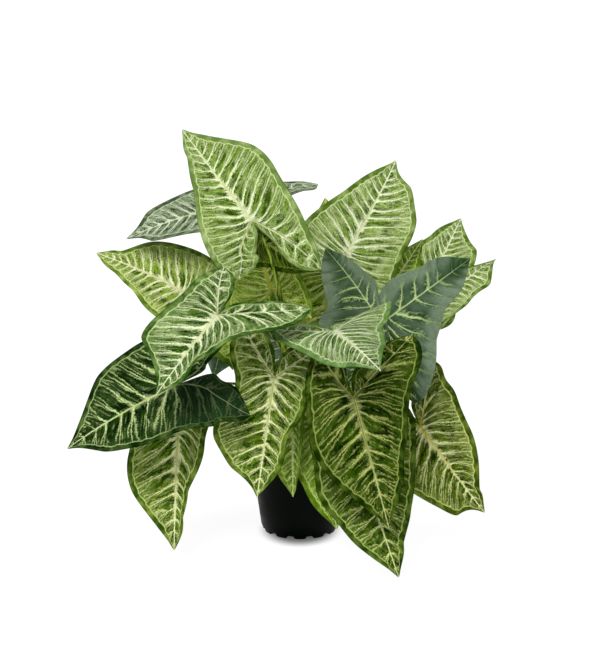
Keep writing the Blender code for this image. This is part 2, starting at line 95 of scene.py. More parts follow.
# Stems and petioles, in metres: each stem has its place round the pot in degrees, its height and its lean
STEM_RADIUS = 0.0025
STEM_FIT = 0.98
STEM_CIRCLE = 0.0140
STEM_MOUTH = 0.004
STEM_RISE = 0.4
STEM_LEAN = 0.7
STEM_SIDES = 16
STEM_STEPS = 4
PETIOLE_RADIUS = 0.0012
PETIOLE_SWELL = 1.22
PETIOLE_TAPER = 0.25
PETIOLE_SPREAD = 0.25
PETIOLE_RISE = 0.30
PETIOLE_TURN = 0.35
PETIOLE_LEAVE = (0.75, 0.65)
PETIOLE_LOWEST = 0.2
PETIOLE_ROOM = 0.5
PETIOLE_STEPS = 9
PETIOLE_SIDES = 12
CURVE_STEPS = 4
JOIN_GAP = 0.0003
STEMS = {
    "stem_front": (-75.0, 0.135, (0.004, -0.012)),
    "stem_left": (-150.0, 0.140, (-0.012, -0.006)),
    "stem_right": (-15.0, 0.140, (0.012, -0.004)),
    "stem_mid": (165.0, 0.150, (0.006, -0.002)),
    "stem_back": (75.0, 0.145, (0.002, 0.012)),
}

# Leaf blade, in shares of the length from the petiole junction to the tip
JUNCTION_SHARE = 0.36
LOBE_TIP = (0.340, -0.570)
LOBE_BEND = (0.205, -0.240)
MARGIN = (
    (0.00, 0.340, -0.570),
    (0.10, 0.408, -0.440),
    (0.20, 0.452, -0.270),
    (0.36, 0.475, -0.020),
    (0.46, 0.462, 0.150),
    (0.56, 0.420, 0.330),
    (0.66, 0.345, 0.500),
    (0.76, 0.245, 0.660),
    (0.86, 0.135, 0.810),
    (0.94, 0.050, 0.920),
    (1.00, 0.000, 1.000),
)
SINUS = (
    (0.00, 0.000, -0.030),
    (0.25, 0.014, -0.150),
    (0.50, 0.045, -0.300),
    (0.75, 0.120, -0.450),
    (0.90, 0.220, -0.540),
    (1.00, 0.340, -0.570),
)
MARGIN_MARKS = ((0.470, 0.050, 0.28), (0.345, 0.500, 0.26), (0.190, 0.740, 0.16), (0.440, -0.300, 0.16))
SINUS_MARKS = ((0.030, -0.200, 0.16), (0.110, -0.430, 0.12))
FOLD = math.radians(9.0)
CREASE = 0.04
ARCH = 0.18
DROOP = 0.35
LOBE_DROOP = 0.6
WAVE = 0.012
WAVE_EDGE = 0.46
WAVE_TURNS = 7.0
WAVE_SHIFT = 2.1
KEPT_MIDDLE = 0.03
LOBE_CALM = 0.06
SINUS_CALM = 0.04

# Blade sheet and its margin bands, in metres, then its grids and its laterals
CAD_THICKNESS = 0.0008
SHOWN_THICKNESS = 0.0005
OUTER_BAND = 0.0058
INNER_BAND = 0.0045
OUTER_GRID = (72, 14)
INNER_GRID = (26, 9)
ROW_CROWDING = 0.35
LATERALS = 19.0
FAN_REACH = 0.11
OUTER_FAN = 1.1
INNER_FAN = 1.5
LOBE_SPAN = 0.8
INNER_LEAN = 0.10
TIP_LEAN = 0.02
WIDE_LEAN = 0.20
LATERAL_CURVE = 1.6
SHEET_STEP = 37.0

# Sight line that the leaves are placed by: the eye in metres, and the sheet that it looks at
EYE = np.array((0.002, -1.6564, 0.5874))
SIGHT_TILT = math.radians(13.0)
SIGHT_REACH = 1700.0
SHEET_CENTRE = (302.0, 332.5)

# Leaves: a point is across and down the sheet, with its depth in millimetres, and a mark has no depth
LEAF_FIELDS = "name stem look junction tip right_lobe left_lobe right_marks left_marks bends"
LeafRow = namedtuple("LeafRow", LEAF_FIELDS, defaults=((), (), {}))
LEAF_ROWS = (
    ("leaf_top", "stem_mid", "sage", (251, 220, -30), (182, 129, 5), (322, 269, -55), (239, 280, -42),
     ((285, 186), (251, 144), None, (306, 225), (275, 242)),
     ((205, 247), (193, 191), (187, 158), None, (251, 252)), {"via": (273, 267, -25)}),
    ("leaf_under_top", "stem_mid", "shade", (262, 240, -15), (316, 271, -31), (255, 260, -14),
     (262, 216, -17), ((268, 267), (287, 273)), (None, None), {"via": (279, 282, -12)}),
    ("leaf_far_left", "stem_back", "grey_sage", (245, 203, 42), (126, 239, 26), (318, 184, 92),
     (288, 228, 38), ((235, 185), (178, 196), (146, 213), (284, 182), None, (302, 191)),
     (None, (190, 233), (152, 241)), {"left": 0.75, "right": 0.8}),
    ("leaf_left", "stem_left", "lemon", (184, 292, 5), (96, 253, 45), (232, 285, 24), (207, 340, -20),
     ((197, 251), (153, 241), (121, 251)), ((163, 322), (132, 290), (115, 273))),
    ("leaf_front_left", "stem_left", "cool", (217, 316, -96), (156, 395, -145), (224, 267, -80),
     (311, 309, -108), ((184, 293), (141, 337)), ((237, 338), (193, 364))),
    ("leaf_low_left", "stem_left", "night", (177, 385, -80), (67, 449, -95), (229, 324, -44),
     (251, 416, -119), ((141, 343), (97, 377), None, None, (195, 376), (208, 362)),
     ((198, 427), (139, 446), (104, 452), (222, 421), (209, 374), (235, 387))),
    ("leaf_inner_left", "stem_mid", "young", (271, 289, 8), (247, 224, 0), (312, 318, -10), (233, 370, -28),
     ((298, 270), None), ((227, 300), (231, 264), None, (213, 350))),
    ("leaf_top_right", "stem_right", "bright_sage", (347, 253, 5), (396, 160, 50), (372, 312, -5),
     (308, 262, -15), ((396, 274), (416, 222), (411, 187)), ((304, 223), (344, 191))),
    ("leaf_turned_mid", "stem_right", "cool", (372, 309, -68), (325, 248, -122), (332, 364, -56),
     (388, 350, -60), (None, (327, 303)), ((379, 298), (364, 271)), {"left": 0.5, "via": (360, 378, -74)}),
    ("leaf_turned_right", "stem_right", "cool", (386, 320, -45), (471, 258, -88), (340, 340, -30),
     (414, 404, -60), ((372, 305), (417, 269)), ((436, 364), (446, 308))),
    ("leaf_front_mid", "stem_front", "frost", (334, 331, -115), (381, 371, -200), (275, 330, -80),
     (387, 302, -100), ((312, 358), (344, 368)), ((386, 322), (386, 345)), {"via": (341, 354, -78)}),
    ("leaf_front_right", "stem_front", "olive", (354, 399, -125), (389, 528, -172), (318, 344, -98),
     (413, 334, -98), ((307, 413), (329, 477)), ((411, 392), (404, 457))),
    ("leaf_lowest", "stem_front", "grove", (356, 455, -95), (399, 578, -172), (320, 402, -76),
     (398, 400, -84), ((314, 466), (337, 522), (359, 548)), ((416, 443), (412, 508), (404, 543)),
     {"via": (366, 405, -55)}),
    ("leaf_low_mid", "stem_front", "fern", (318, 430, -58), (337, 530, -84), (293, 395, -44),
     (350, 398, -46), ((295, 442), (303, 486)), (None, None)),
    ("leaf_folded", "stem_mid", "fern", (293, 398, -70), (293, 497, -86), (280, 360, -60), (306, 362, -62),
     ((274, 408), (275, 452)), (None, None), {"left": 0.2}),
    ("leaf_mid_left", "stem_left", "moss", (274, 379, -84), (257, 498, -112), (243, 324, -60),
     (320, 346, -66), ((236, 385), (214, 437), (231, 468)), ((309, 391), (288, 438)),
     {"via": (258, 384, -62)}),
    ("leaf_hanging_left", "stem_left", "moss", (178, 428, -62), (174, 551, -100), (145, 390, -45),
     (206, 390, -45), ((131, 441), (132, 492)), ((206, 438), (189, 491), (183, 518)), {"left": 0.72}),
    ("leaf_low_right", "stem_right", "amber", (421, 427, -45), (485, 513, -80), (383, 455, -35),
     (434, 360, -22), (None, (431, 503), (457, 516)), ((459, 403), (478, 453), (480, 489), (445, 379)),
     {"right": 1.15}),
    ("leaf_upper_right", "stem_back", "bright_sage", (424, 292, 100), (461, 218, 165), (440, 330, 85),
     (392, 305, 85), ((456, 290), (477, 252)), (None, (431, 235)), {"left": 0.85, "via": (385, 374, 62)}),
    ("leaf_far_right", "stem_right", "bright_sage", (435, 312, 40), (496, 259, 100), (410, 350, -26),
     (390, 334, 42), ((450, 317), (472, 297), (491, 283)), (None, (452, 268))),
    ("leaf_inner_mid", "stem_mid", "young", (328, 276, 32), (320, 385, 5), (302, 252, 45), (352, 258, 45),
     (None, None), ((352, 290), (345, 330))),
    ("leaf_peeking", "stem_back", "young", (335, 305, 72), (325, 197, 92), (365, 355, 55), (300, 350, 55),
     (None, None), (None, (298, 238)), {"via": (333, 366, 62)}),
    ("leaf_slender", "stem_back", "fern", (384, 300, 22), (423, 239, 55), (402, 340, 8), (361, 334, 14),
     (None, None), (None, None), {"right": 0.62, "left": 0.62}),
    ("leaf_back_low", "stem_back", "moss", (338, 392, 98), (366, 470, 146), (368, 358, 90), (310, 366, 92)),
    ("leaf_back_left", "stem_back", "moss", (235, 290, 95), (213, 378, 140), (282, 268, 72),
     (205, 262, 92)),
    ("leaf_back_mid", "stem_back", "olive", (296, 345, 100), (285, 430, 165), (326, 302, 90),
     (272, 300, 90)),
    ("leaf_back_right", "stem_back", "moss", (350, 290, 112), (400, 355, 170), (345, 232, 100),
     (305, 272, 100), (None, None), (None, None), {"via": (338, 380, 72)}),
)
LEAVES = [LeafRow(*row) for row in LEAF_ROWS]

UP = np.array((0.0, 0.0, 1.0))


def unit(v):
    return v / np.linalg.norm(v)


def smooth(t):
    t = np.clip(t, 0.0, 1.0)
    return t * t * (3.0 - 2.0 * t)


def seen(across, down, depth):
    """Point in metres of a place on the sheet and a depth in millimetres."""
    right = (across - SHEET_CENTRE[0]) / SIGHT_REACH
    up = (SHEET_CENTRE[1] - down) / SIGHT_REACH
    tilt_cos = math.cos(SIGHT_TILT)
    tilt_sin = math.sin(SIGHT_TILT)
    ray = np.array((right, tilt_cos + up * tilt_sin, up * tilt_cos - tilt_sin))
    return EYE + ray * ((depth / 1000.0 - EYE[1]) / ray[1])


def along(rows, at):
    """Smooth curve through rows of (share, x, y)."""
    last = len(rows) - 1
    k = 0
    while k < last - 1 and at > rows[k + 1][0]:
        k += 1
    a = rows[k]
    b = rows[k + 1]
    before = rows[max(k - 1, 0)]
    after = rows[min(k + 2, last)]
    span = b[0] - a[0]
    t = (at - a[0]) / span
    out = []
    for c in (1, 2):
        slope_a = (b[c] - before[c]) / (b[0] - before[0]) * span
        slope_b = (after[c] - a[c]) / (after[0] - a[0]) * span
        out.append(
            a[c] * (2 * t**3 - 3 * t**2 + 1)
            + slope_a * (t**3 - 2 * t**2 + t)
            + b[c] * (3 * t**2 - 2 * t**3)
            + slope_b * (t**3 - t**2)
        )
    return out


def spine(share):
    """Lobe tip, junction, leaf tip: the line of main veins of the right half."""
    if share >= JUNCTION_SHARE:
        return (0.0, (share - JUNCTION_SHARE) / (1.0 - JUNCTION_SHARE))
    s = 1.0 - share / JUNCTION_SHARE
    bend = 2.0 * s * (1.0 - s)
    return (LOBE_BEND[0] * bend + LOBE_TIP[0] * s * s, LOBE_BEND[1] * bend + LOBE_TIP[1] * s * s)


class Blade:
    """The bent mid-surface of one leaf."""

    def __init__(self, row):
        places = (row.junction, row.tip, row.right_lobe, row.left_lobe)
        junction, tip, right_lobe, left_lobe = [seen(*p) for p in places]
        self.width = (row.bends.get("left", 1.0), row.bends.get("right", 1.0))
        self.junction = junction
        self.length = float(np.linalg.norm(tip - junction))
        chord = self.bent(np.array([0.0]), np.array([1.0]))[0]
        self.scale = self.length / np.linalg.norm(chord)
        far = unit(tip - junction)
        across = right_lobe - left_lobe
        across = unit(across - far * across.dot(far))
        face = np.cross(across, far)
        across = np.cross(far, face)
        near = unit(chord)
        lift = unit(UP - near * UP.dot(near))
        side = np.cross(near, lift)
        self.axes = ((side, across), (near, far), (lift, face))
        self.face = face
        self.far = far
        self.shift = [np.zeros(3), np.zeros(3)]
        self.pulls = [[], []]
        for k, lobe in ((0, left_lobe), (1, right_lobe)):
            x = LOBE_TIP[0] * (1 if k else -1)
            self.shift[k] = lobe - self.placed(np.array([x]), np.array([LOBE_TIP[1]]))[0]
        for k, marks in ((0, row.left_marks), (1, row.right_marks)):
            for place, mark in zip((*MARGIN_MARKS, *SINUS_MARKS), marks):
                if mark:
                    here = self.at(np.array([place[0] * (1 if k else -1)]), np.array([place[1]]))[0]
                    self.pulls[k].append((place, seen(mark[0], mark[1], here[1] * 1000.0) - here))

    def bent(self, x, y):
        """Folded, arched, waved and drooping sheet before it is turned to its place."""
        right = x > 0
        share = np.where(right, self.width[1], self.width[0])
        d = share * np.abs(x) + (1.0 - share) * KEPT_MIDDLE * (1.0 - np.exp(-np.abs(x) / KEPT_MIDDLE))
        x = np.copysign(d, x)
        crease = np.sqrt(d * d + CREASE**2) - CREASE
        z = math.sin(FOLD) * crease - ARCH * d * d
        x = x * math.cos(FOLD)
        edge = np.minimum(d / WAVE_EDGE, 1.0) ** 2
        z = z + WAVE * edge * np.sin(WAVE_TURNS * y + np.where(right, WAVE_SHIFT, 0.0))
        curve = DROOP * y * np.where(y < 0, LOBE_DROOP, 1.0)
        radius = 1.0 / (DROOP * np.where(y < 0, LOBE_DROOP, 1.0))
        return np.stack((x, (radius + z) * np.sin(curve), (radius + z) * np.cos(curve) - radius), 1)

    def placed(self, x, y):
        p = self.bent(x, y)
        out = np.tile(self.junction, (len(p), 1))
        for mine, world in self.axes:
            out += np.outer(p @ mine * self.scale, world)
        return out

    def at(self, x, y):
        """Placed sheet with its lobes and margins drawn to their own points."""
        p = self.placed(x, y)
        span = LOBE_TIP[0] ** 2 + LOBE_TIP[1] ** 2
        s = (np.abs(x) * LOBE_TIP[0] + y * LOBE_TIP[1]) / span
        s = np.maximum(s, 0.0) ** 1.25 * smooth(np.abs(x) / LOBE_CALM)
        for k, mine in ((0, x <= 0), (1, x > 0)):
            p += np.outer(s * mine, self.shift[k])
            for place, pull in self.pulls[k]:
                near = ((y - place[1]) / place[2]) ** 2
                reach = np.minimum(np.abs(x) / place[0], 1.0) ** 1.4
                if place in SINUS_MARKS:
                    near = near + ((np.abs(x) - place[0]) / place[2]) ** 2
                    reach = smooth(np.abs(x) / SINUS_CALM)
                p += np.outer(reach * np.exp(-near) * mine, pull)
        return p


Patch = namedtuple("Patch", "sign inner x y at out")


def patch(sign, inner, shares, columns, start, end):
    """Flat grid from a line of main veins out to a line of margin."""
    out = np.linspace(0, 1, columns + 1)
    x = sign * (start[:, :1] + (end[:, :1] - start[:, :1]) * out)
    y = start[:, 1:] + (end[:, 1:] - start[:, 1:]) * out
    at = np.repeat(shares[:, None], columns + 1, 1)
    return Patch(sign, inner, x, y, at, np.repeat(out[None], len(shares), 0))


def patches():
    """Outer and inner grid of the right half, then of the left half."""
    made = []
    for sign in (1, -1):
        rows, columns = OUTER_GRID
        even = np.linspace(0, 1, rows + 1)
        at = (1.0 - ROW_CROWDING) * even + ROW_CROWDING * (0.5 - 0.5 * np.cos(np.pi * even))
        at[np.argmin(np.abs(at - JUNCTION_SHARE))] = JUNCTION_SHARE
        ribs = np.array([spine(t) for t in at])
        edges = np.array([along(MARGIN, t) for t in at])
        made.append(patch(sign, False, at, columns, ribs, edges))
        rows, columns = INNER_GRID
        at = np.linspace(0, 1, rows + 1)
        ribs = np.array([spine(JUNCTION_SHARE * (1 - t)) for t in at])
        edges = np.array([along(SINUS, t) for t in at])
        made.append(patch(sign, True, at, columns, ribs, edges))
    return made


PATCHES = patches()
HALF_WIDTHS = np.abs(PATCHES[0].x[:, -1])


def circle(radius, height, sides):
    turns = [2.0 * math.pi * s / sides for s in range(sides)]
    return [(radius * math.cos(turn), radius * math.sin(turn), height) for turn in turns]


def new_mesh(name, points, faces, smooth_faces=True):
    mesh = bpy.data.meshes.new(name)
    mesh.from_pydata([tuple(p) for p in points], [], [tuple(f) for f in faces])
    mesh.update()
    if smooth_faces:
        mesh.polygons.foreach_set("use_smooth", [True] * len(mesh.polygons))
    made = bpy.data.objects.new(name, mesh)
    bpy.context.scene.collection.objects.link(made)
    return made


# Leaf blades
def lateral_numbers(part):
    """Which lateral each point of a grid lies by, counted from the junction, and the share left to a tip."""
    at = part.at
    out = part.out
    if part.inner:
        line = -LATERALS * JUNCTION_SHARE * (at - INNER_LEAN * out)
        line = line * (1.0 + INNER_FAN * np.exp(-((JUNCTION_SHARE * at / FAN_REACH) ** 2)))
        return line, LOBE_SPAN * (1.0 - at)
    lean = TIP_LEAN + WIDE_LEAN * HALF_WIDTHS[:, None] * smooth((at - 0.18) / 0.25)
    line = at - JUNCTION_SHARE - lean * out ** (LATERAL_CURVE - 0.5 * smooth((at - 0.36) / 0.12))
    fan = np.exp(-(((at - JUNCTION_SHARE) / FAN_REACH) ** 2) - out / 0.4)
    line = LATERALS * line * (1.0 + OUTER_FAN * fan)
    toward = np.where(
        at > JUNCTION_SHARE,
        1.0 - (at - JUNCTION_SHARE) / (1.0 - JUNCTION_SHARE),
        LOBE_SPAN * at / JUNCTION_SHARE,
    )
    return line, toward


def vein_facts(blade, part):
    """Lateral, share out, share left to a tip, millimetres from the rib, margin distance in bands, half."""
    rows, columns = part.x.shape
    p = blade.at(part.x.ravel(), part.y.ravel()).reshape(rows, columns, 3)
    steps = np.linalg.norm(np.diff(p, axis=1), axis=2)
    width = steps.sum(1)
    rib = np.concatenate((np.zeros((rows, 1)), np.cumsum(steps, 1)), 1)
    edge = width[:, None] - rib
    band = np.minimum(INNER_BAND if part.inner else OUTER_BAND, 0.34 * width + 0.0002)[:, None]
    line, toward = lateral_numbers(part)
    return np.stack((line, part.out, toward, rib * 1000, edge / band, np.full_like(part.out, part.sign)), 2)


def blade_grid(blade):
    """Points of the flat blade, each once, with the quads between them and the facts of their corners."""
    numbers = {}
    flat = []
    quads = []
    corners = []
    for part in PATCHES:
        facts = vein_facts(blade, part)
        rows, columns = part.x.shape
        where = np.zeros((rows, columns), int)
        for i in range(rows):
            for j in range(columns):
                key = (round(part.x[i, j], 5), round(part.y[i, j], 5))
                if key not in numbers:
                    numbers[key] = len(flat)
                    flat.append((part.x[i, j], part.y[i, j]))
                where[i, j] = numbers[key]
        for i in range(rows - 1):
            for j in range(columns - 1):
                ring = ((i, j), (i, j + 1), (i + 1, j + 1), (i + 1, j))
                if part.sign > 0:
                    ring = ring[::-1]
                kept = []
                for c in ring:
                    if where[c] not in [where[q] for q in kept]:
                        kept.append(c)
                if len(kept) > 2:
                    quads.append([where[c] for c in kept])
                    corners.append([facts[c] for c in kept])
    return np.array(flat), quads, corners


def keep_attribute(mesh, name, rows):
    made = mesh.attributes.new(name, "FLOAT_VECTOR", "CORNER")
    made.data.foreach_set("vector", rows.astype(np.float32).ravel())


def build_leaf(row, seed):
    """Thin closed blade with its vein coordinates kept on the face corners."""
    blade = Blade(row)
    flat, quads, corners = blade_grid(blade)
    mid = blade.at(flat[:, 0], flat[:, 1])
    normal = np.zeros_like(mid)
    for q in quads:
        normal[q] += np.cross(mid[q[1]] - mid[q[0]], mid[q[2]] - mid[q[0]])
    normal /= np.maximum(np.linalg.norm(normal, axis=1), 1e-12)[:, None]
    if np.mean(normal @ blade.face) < 0:
        normal = -normal
        quads = [q[::-1] for q in quads]
        corners = [c[::-1] for c in corners]

    # Both faces, then the strip between them along the open edges
    half = SHOWN_THICKNESS / 2
    count = len(mid)
    points = np.concatenate((mid + normal * half, mid - normal * half))
    faces = quads + [[i + count for i in q[::-1]] for q in quads]
    data = corners + [c[::-1] for c in corners]
    under = [0] * len(quads) + [1] * len(quads)
    used = {}
    for q, c in zip(quads, corners):
        for k in range(len(q)):
            used[(q[k], q[(k + 1) % len(q)])] = (c[k], c[(k + 1) % len(q)])
    for (a, b), (facts_a, facts_b) in used.items():
        if (b, a) not in used:
            faces.append([b, a, a + count, b + count])
            data.append([facts_b, facts_a, facts_a, facts_b])
            under.append(0)

    ob = new_mesh(row.name + "_blade", points, faces)
    values = np.array([v for c in data for v in c])
    sheet = np.array([flat[i % count] for f in faces for i in f]) * blade.length * 1000
    keep_attribute(ob.data, "veins", values[:, :3])
    keep_attribute(ob.data, "spans", values[:, 3:])
    keep_attribute(ob.data, "sheet", np.concatenate((sheet, np.full((len(sheet), 1), seed * SHEET_STEP)), 1))
    ob.data.polygons.foreach_set("material_index", under)
    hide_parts(row.name)
    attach(ob, "root")
    return ob, blade


# Curves and tubes
def bezier(a, b, c, d, steps):
    out = []
    for k in range(steps + 1):
        t = k / steps
        r = 1.0 - t
        out.append(a * r**3 + b * (3 * r * r * t) + c * (3 * r * t * t) + d * t**3)
    return out


def rounded(points, steps):
    """Smooth curve through all the points."""
    points = [np.asarray(p) for p in points]
    out = []
    for k in range(len(points) - 1):
        a = points[max(k - 1, 0)]
        b = points[k]
        c = points[k + 1]
        d = points[min(k + 2, len(points) - 1)]
        square = 2 * a - 5 * b + 4 * c - d
        cube = 3 * b - a - 3 * c + d
        for s in range(steps):
            t = s / steps
            out.append(0.5 * (2 * b + (c - a) * t + square * t**2 + cube * t**3))
    out.append(points[-1])
    return out


def tube(points, radii, sides):
    out = []
    faces = []
    guide = np.array((0.0, 1.0, 0.0))
    for k, p in enumerate(points):
        heading = unit(points[min(k + 1, len(points) - 1)] - points[max(k - 1, 0)])
        guide = unit(guide - heading * guide.dot(heading))
        other = np.cross(heading, guide)
        for s in range(sides):
            turn = 2.0 * math.pi * s / sides
            out.append(p + (guide * math.cos(turn) + other * math.sin(turn)) * radii[k])
    for k in range(len(points) - 1):
        for s in range(sides):
            a = k * sides + s
            b = k * sides + (s + 1) % sides
            faces.append((a, b, b + sides, a + sides))
    faces.append(tuple(reversed(range(sides))))
    faces.append(tuple(range(len(out) - sides, len(out))))
    return out, faces


def stem_line(name):
    angle, height, lean = STEMS[name]
    turn = math.radians(angle)
    x = STEM_CIRCLE * math.cos(turn)
    y = STEM_CIRCLE * math.sin(turn)
    low = np.array((x, y, SOIL_LEVEL - HOLE_DEPTH + JOIN_GAP))
    mouth = np.array((x, y, SOIL_LEVEL + STEM_MOUTH))
    crown = np.array((x + lean[0], y + lean[1], height))
    rise = UP * STEM_RISE * (height - mouth[2])
    return [low] + bezier(mouth, mouth + rise, mouth + (crown - mouth) * STEM_LEAN, crown, STEM_STEPS)


def petiole_line(start, blade, bends):
    """Curve from its stem to just under the junction of its blade, by way of a point where one is named."""
    leave = unit(-blade.face * PETIOLE_LEAVE[0] - blade.far * PETIOLE_LEAVE[1])
    slant = PETIOLE_RADIUS * abs(leave.dot(blade.far))
    end = blade.junction - blade.face * (CAD_THICKNESS / 2.0 + JOIN_GAP + slant)
    reach = np.linalg.norm(end - start)
    out = np.array((end[0] - start[0], end[1] - start[1], 0.0)) * PETIOLE_SPREAD + UP * reach * PETIOLE_RISE
    if "via" not in bends:
        return bezier(start, start + out, end + leave * reach * PETIOLE_RISE, end, PETIOLE_STEPS)
    via = seen(*bends["via"])
    pull = unit(end - start)
    near = np.linalg.norm(via - start) * PETIOLE_TURN
    far = np.linalg.norm(end - via) * PETIOLE_TURN
    rise = unit(unit(out) + unit(via - start))
    half = PETIOLE_STEPS // 2 + 1
    first = bezier(start, start + rise * near, via - pull * near, via, half)
    return first + bezier(via, via + pull * far, end + leave * far, end, half)[1:]


# Node trees
class Value:
    """Result of a node; sums, products and powers of it make further nodes."""

    def __init__(self, tree, socket):
        self.tree = tree
        self.socket = socket

    def __add__(self, other):
        return self.tree.math("ADD", self, other)

    def __radd__(self, other):
        return self.tree.math("ADD", other, self)

    def __sub__(self, other):
        return self.tree.math("SUBTRACT", self, other)

    def __rsub__(self, other):
        return self.tree.math("SUBTRACT", other, self)

    def __mul__(self, other):
        return self.tree.math("MULTIPLY", self, other)

    def __pow__(self, other):
        return self.tree.math("POWER", self, other)

    def __abs__(self):
        return self.tree.math("ABSOLUTE", self)


class Tree:
    """Short names for the nodes of one material."""

    def __init__(self, name):
        self.material = bpy.data.materials.new(name)
        self.material.use_nodes = True
        self.nodes = self.material.node_tree.nodes
        self.links = self.material.node_tree.links
        self.shader = self.nodes["Principled BSDF"]

    def put(self, socket, value):
        if isinstance(value, Value):
            self.links.new(value.socket, socket)
        elif value is not None:
            socket.default_value = value

    def node(self, kind, **settings):
        made = self.nodes.new(kind)
        for key, value in settings.items():
            setattr(made, key, value)
        return made

    def fed(self, made, values):
        """First result of a node whose first inputs are fed with the values."""
        for socket, value in zip(made.inputs, values):
            self.put(socket, value)
        return Value(self, made.outputs[0])

    def attribute(self, name):
        return Value(self, self.node("ShaderNodeAttribute", attribute_name=name).outputs["Vector"])

    def place(self):
        return Value(self, self.node("ShaderNodeTexCoord").outputs["Object"])

    def split(self, vector):
        made = self.node("ShaderNodeSeparateXYZ")
        self.put(made.inputs[0], vector)
        return [Value(self, end) for end in made.outputs]

    def math(self, kind, a, b=None, clamp=False):
        return self.fed(self.node("ShaderNodeMath", operation=kind, use_clamp=clamp), (a, b))

    def exp(self, value):
        return self.math("EXPONENT", value)

    def largest(self, value, *others):
        for other in others:
            value = self.math("MAXIMUM", value, other)
        return value

    def from_line(self, value):
        """Distance to the nearest whole number: 0 on a vein and 0.5 midway between two."""
        return 0.5 - self.math("PINGPONG", value, 0.5)

    def noise(self, place, scale, detail=2.0, rough=0.5):
        made = self.node("ShaderNodeTexNoise", noise_dimensions="3D")
        for key, value in (("Vector", place), ("Scale", scale), ("Detail", detail), ("Roughness", rough)):
            self.put(made.inputs[key], value)
        return Value(self, made.outputs[0])

    def noise_at(self, x, y, z, detail=1.0, rough=0.5):
        """Noise over three values of the blade's own, such as the lateral and the share out."""
        return self.noise(self.fed(self.node("ShaderNodeCombineXYZ"), (x, y, z)), 1.0, detail, rough)

    def ramp(self, value, low, high, a=0.0, b=1.0, kind="SMOOTHSTEP"):
        made = self.node("ShaderNodeMapRange", interpolation_type=kind)
        return self.fed(made, (value, low, high, a, b))

    def fade(self, value, low, high):
        return self.ramp(value, low, high, 1.0, 0.0)

    def stripe(self, distance, width, core, soft):
        """Full in the core of a line and gone past its soft edge, both in shares of its width."""
        return self.fade(distance, width * core, width * soft)

    def mix(self, share, a, b):
        made = self.node("ShaderNodeMix", data_type="RGBA", blend_type="MIX")
        made.clamp_factor = True
        self.put(made.inputs["Factor"], share)
        colours = [s for s in made.inputs if s.type == "RGBA"]
        for socket, value in zip(colours, (a, b)):
            self.put(socket, (*value, 1.0) if isinstance(value, tuple) else value)
        return Value(self, [s for s in made.outputs if s.type == "RGBA"][0])

    def bump(self, height, distance, strength):
        made = self.node("ShaderNodeBump")
        for key, value in (("Strength", strength), ("Distance", distance), ("Height", height)):
            self.put(made.inputs[key], value)
        self.put(self.shader.inputs["Normal"], Value(self, made.outputs[0]))

    def surface(self, colour, rough, shine=None):
        self.put(self.shader.inputs["Base Color"], colour)
        self.put(self.shader.inputs["Roughness"], rough)
        self.put(self.shader.inputs["Specular IOR Level"], shine)


class BladeTree(Tree):
    """Node tree of one face of a blade, with the coordinates that the blade keeps."""

    def __init__(self, name):
        super().__init__(name)
        self.line, self.out, self.toward = self.split(self.attribute("veins"))
        self.rib, self.edge, self.half = self.split(self.attribute("spans"))
        self.sheet = self.attribute("sheet")
        self.side = self.half * 5.0 + self.split(self.sheet)[2]
        self.lobe = None

    def spared(self, value, share):
        """The value, less the share of it that a bare lobe goes without."""
        if self.lobe is None:
            return value
        return value * (1.0 - (self.lobe if share == 1.0 else self.lobe * share))


# Upper face of a blade
def draw_laterals(t, look):
    """Run of the laterals with its sway, and the streaks and strokes that follow it."""
    t.line = t.line * look.get("count", 1.0)
    t.slow = t.noise(t.sheet, 0.055, 1.0)
    t.wander = t.noise(t.sheet, 0.2, 1.0)
    t.fine = t.noise(t.sheet, 0.8, 3.0, 0.65)
    t.grain = t.fine - 0.5
    spacing = t.noise_at(t.line * 0.8, t.side, 0.0)
    t.bent = t.line + (spacing - 0.5) * 0.9 + (t.slow - 0.5) * 0.3 + (t.wander - 0.5) * 0.12 + t.grain * 0.34
    t.first = t.from_line(t.bent)
    t.streak = t.noise_at(t.bent * 9.0, t.out * 9.0, t.side, 2.0, 0.6)
    t.gate = t.noise_at(t.bent * 1.9, t.out * 3.0, t.side)
    t.cell = t.math("ROUND", t.bent) * 3.7 + t.side
    t.strokes = t.noise_at(t.first * 4.6 - t.out * 4.0, t.out * 5.0, t.cell, 3.0, 0.7)
    t.root = t.exp(abs(t.line) * -0.55)
    t.inside = t.ramp(t.edge, 0.92, 1.12)
    # A bare lobe goes without veins and takes a painted sheen.
    if "bare" in look:
        t.lobe = t.fade(t.line, -1.0, 2.4) * t.ramp(t.half * look["bare"], -0.1, 0.1)


def top_ground(t, look):
    """Dashes of dark and plain green under a pale wash, with a painted sheen on a bare lobe."""
    dash = t.noise_at(t.bent * 3.4, t.out * 2.6, t.side, 2.0, 0.6)
    mottle = t.largest(t.ramp(dash + t.grain * 0.22, 0.42, 0.56), t.ramp(t.out, 0.4, 0.95, 0.0, 0.7))
    ground = t.mix(mottle, look["deep"], look["ground"])
    broad = t.noise(t.sheet, 0.04, 2.0)
    wash = t.ramp(broad, 0.38, 0.66) * t.ramp(t.strokes, 0.3, 0.6) * t.ramp(t.out, 0.1, 0.8, 0.45, 1.25)
    ground = t.mix(wash * look.get("pale_share", 0.6), ground, look["pale"])
    ground = t.mix(t.ramp(t.fine, 0.4, 0.54, 0.36, 0.0), ground, look["deep"])
    if t.lobe is None:
        return ground
    # painted sheen: a bare lobe is mixed halfway toward a lighter blue-grey green that stands in for a
    # reflection on it
    return t.mix(t.lobe * 0.5, ground, look["satin"])


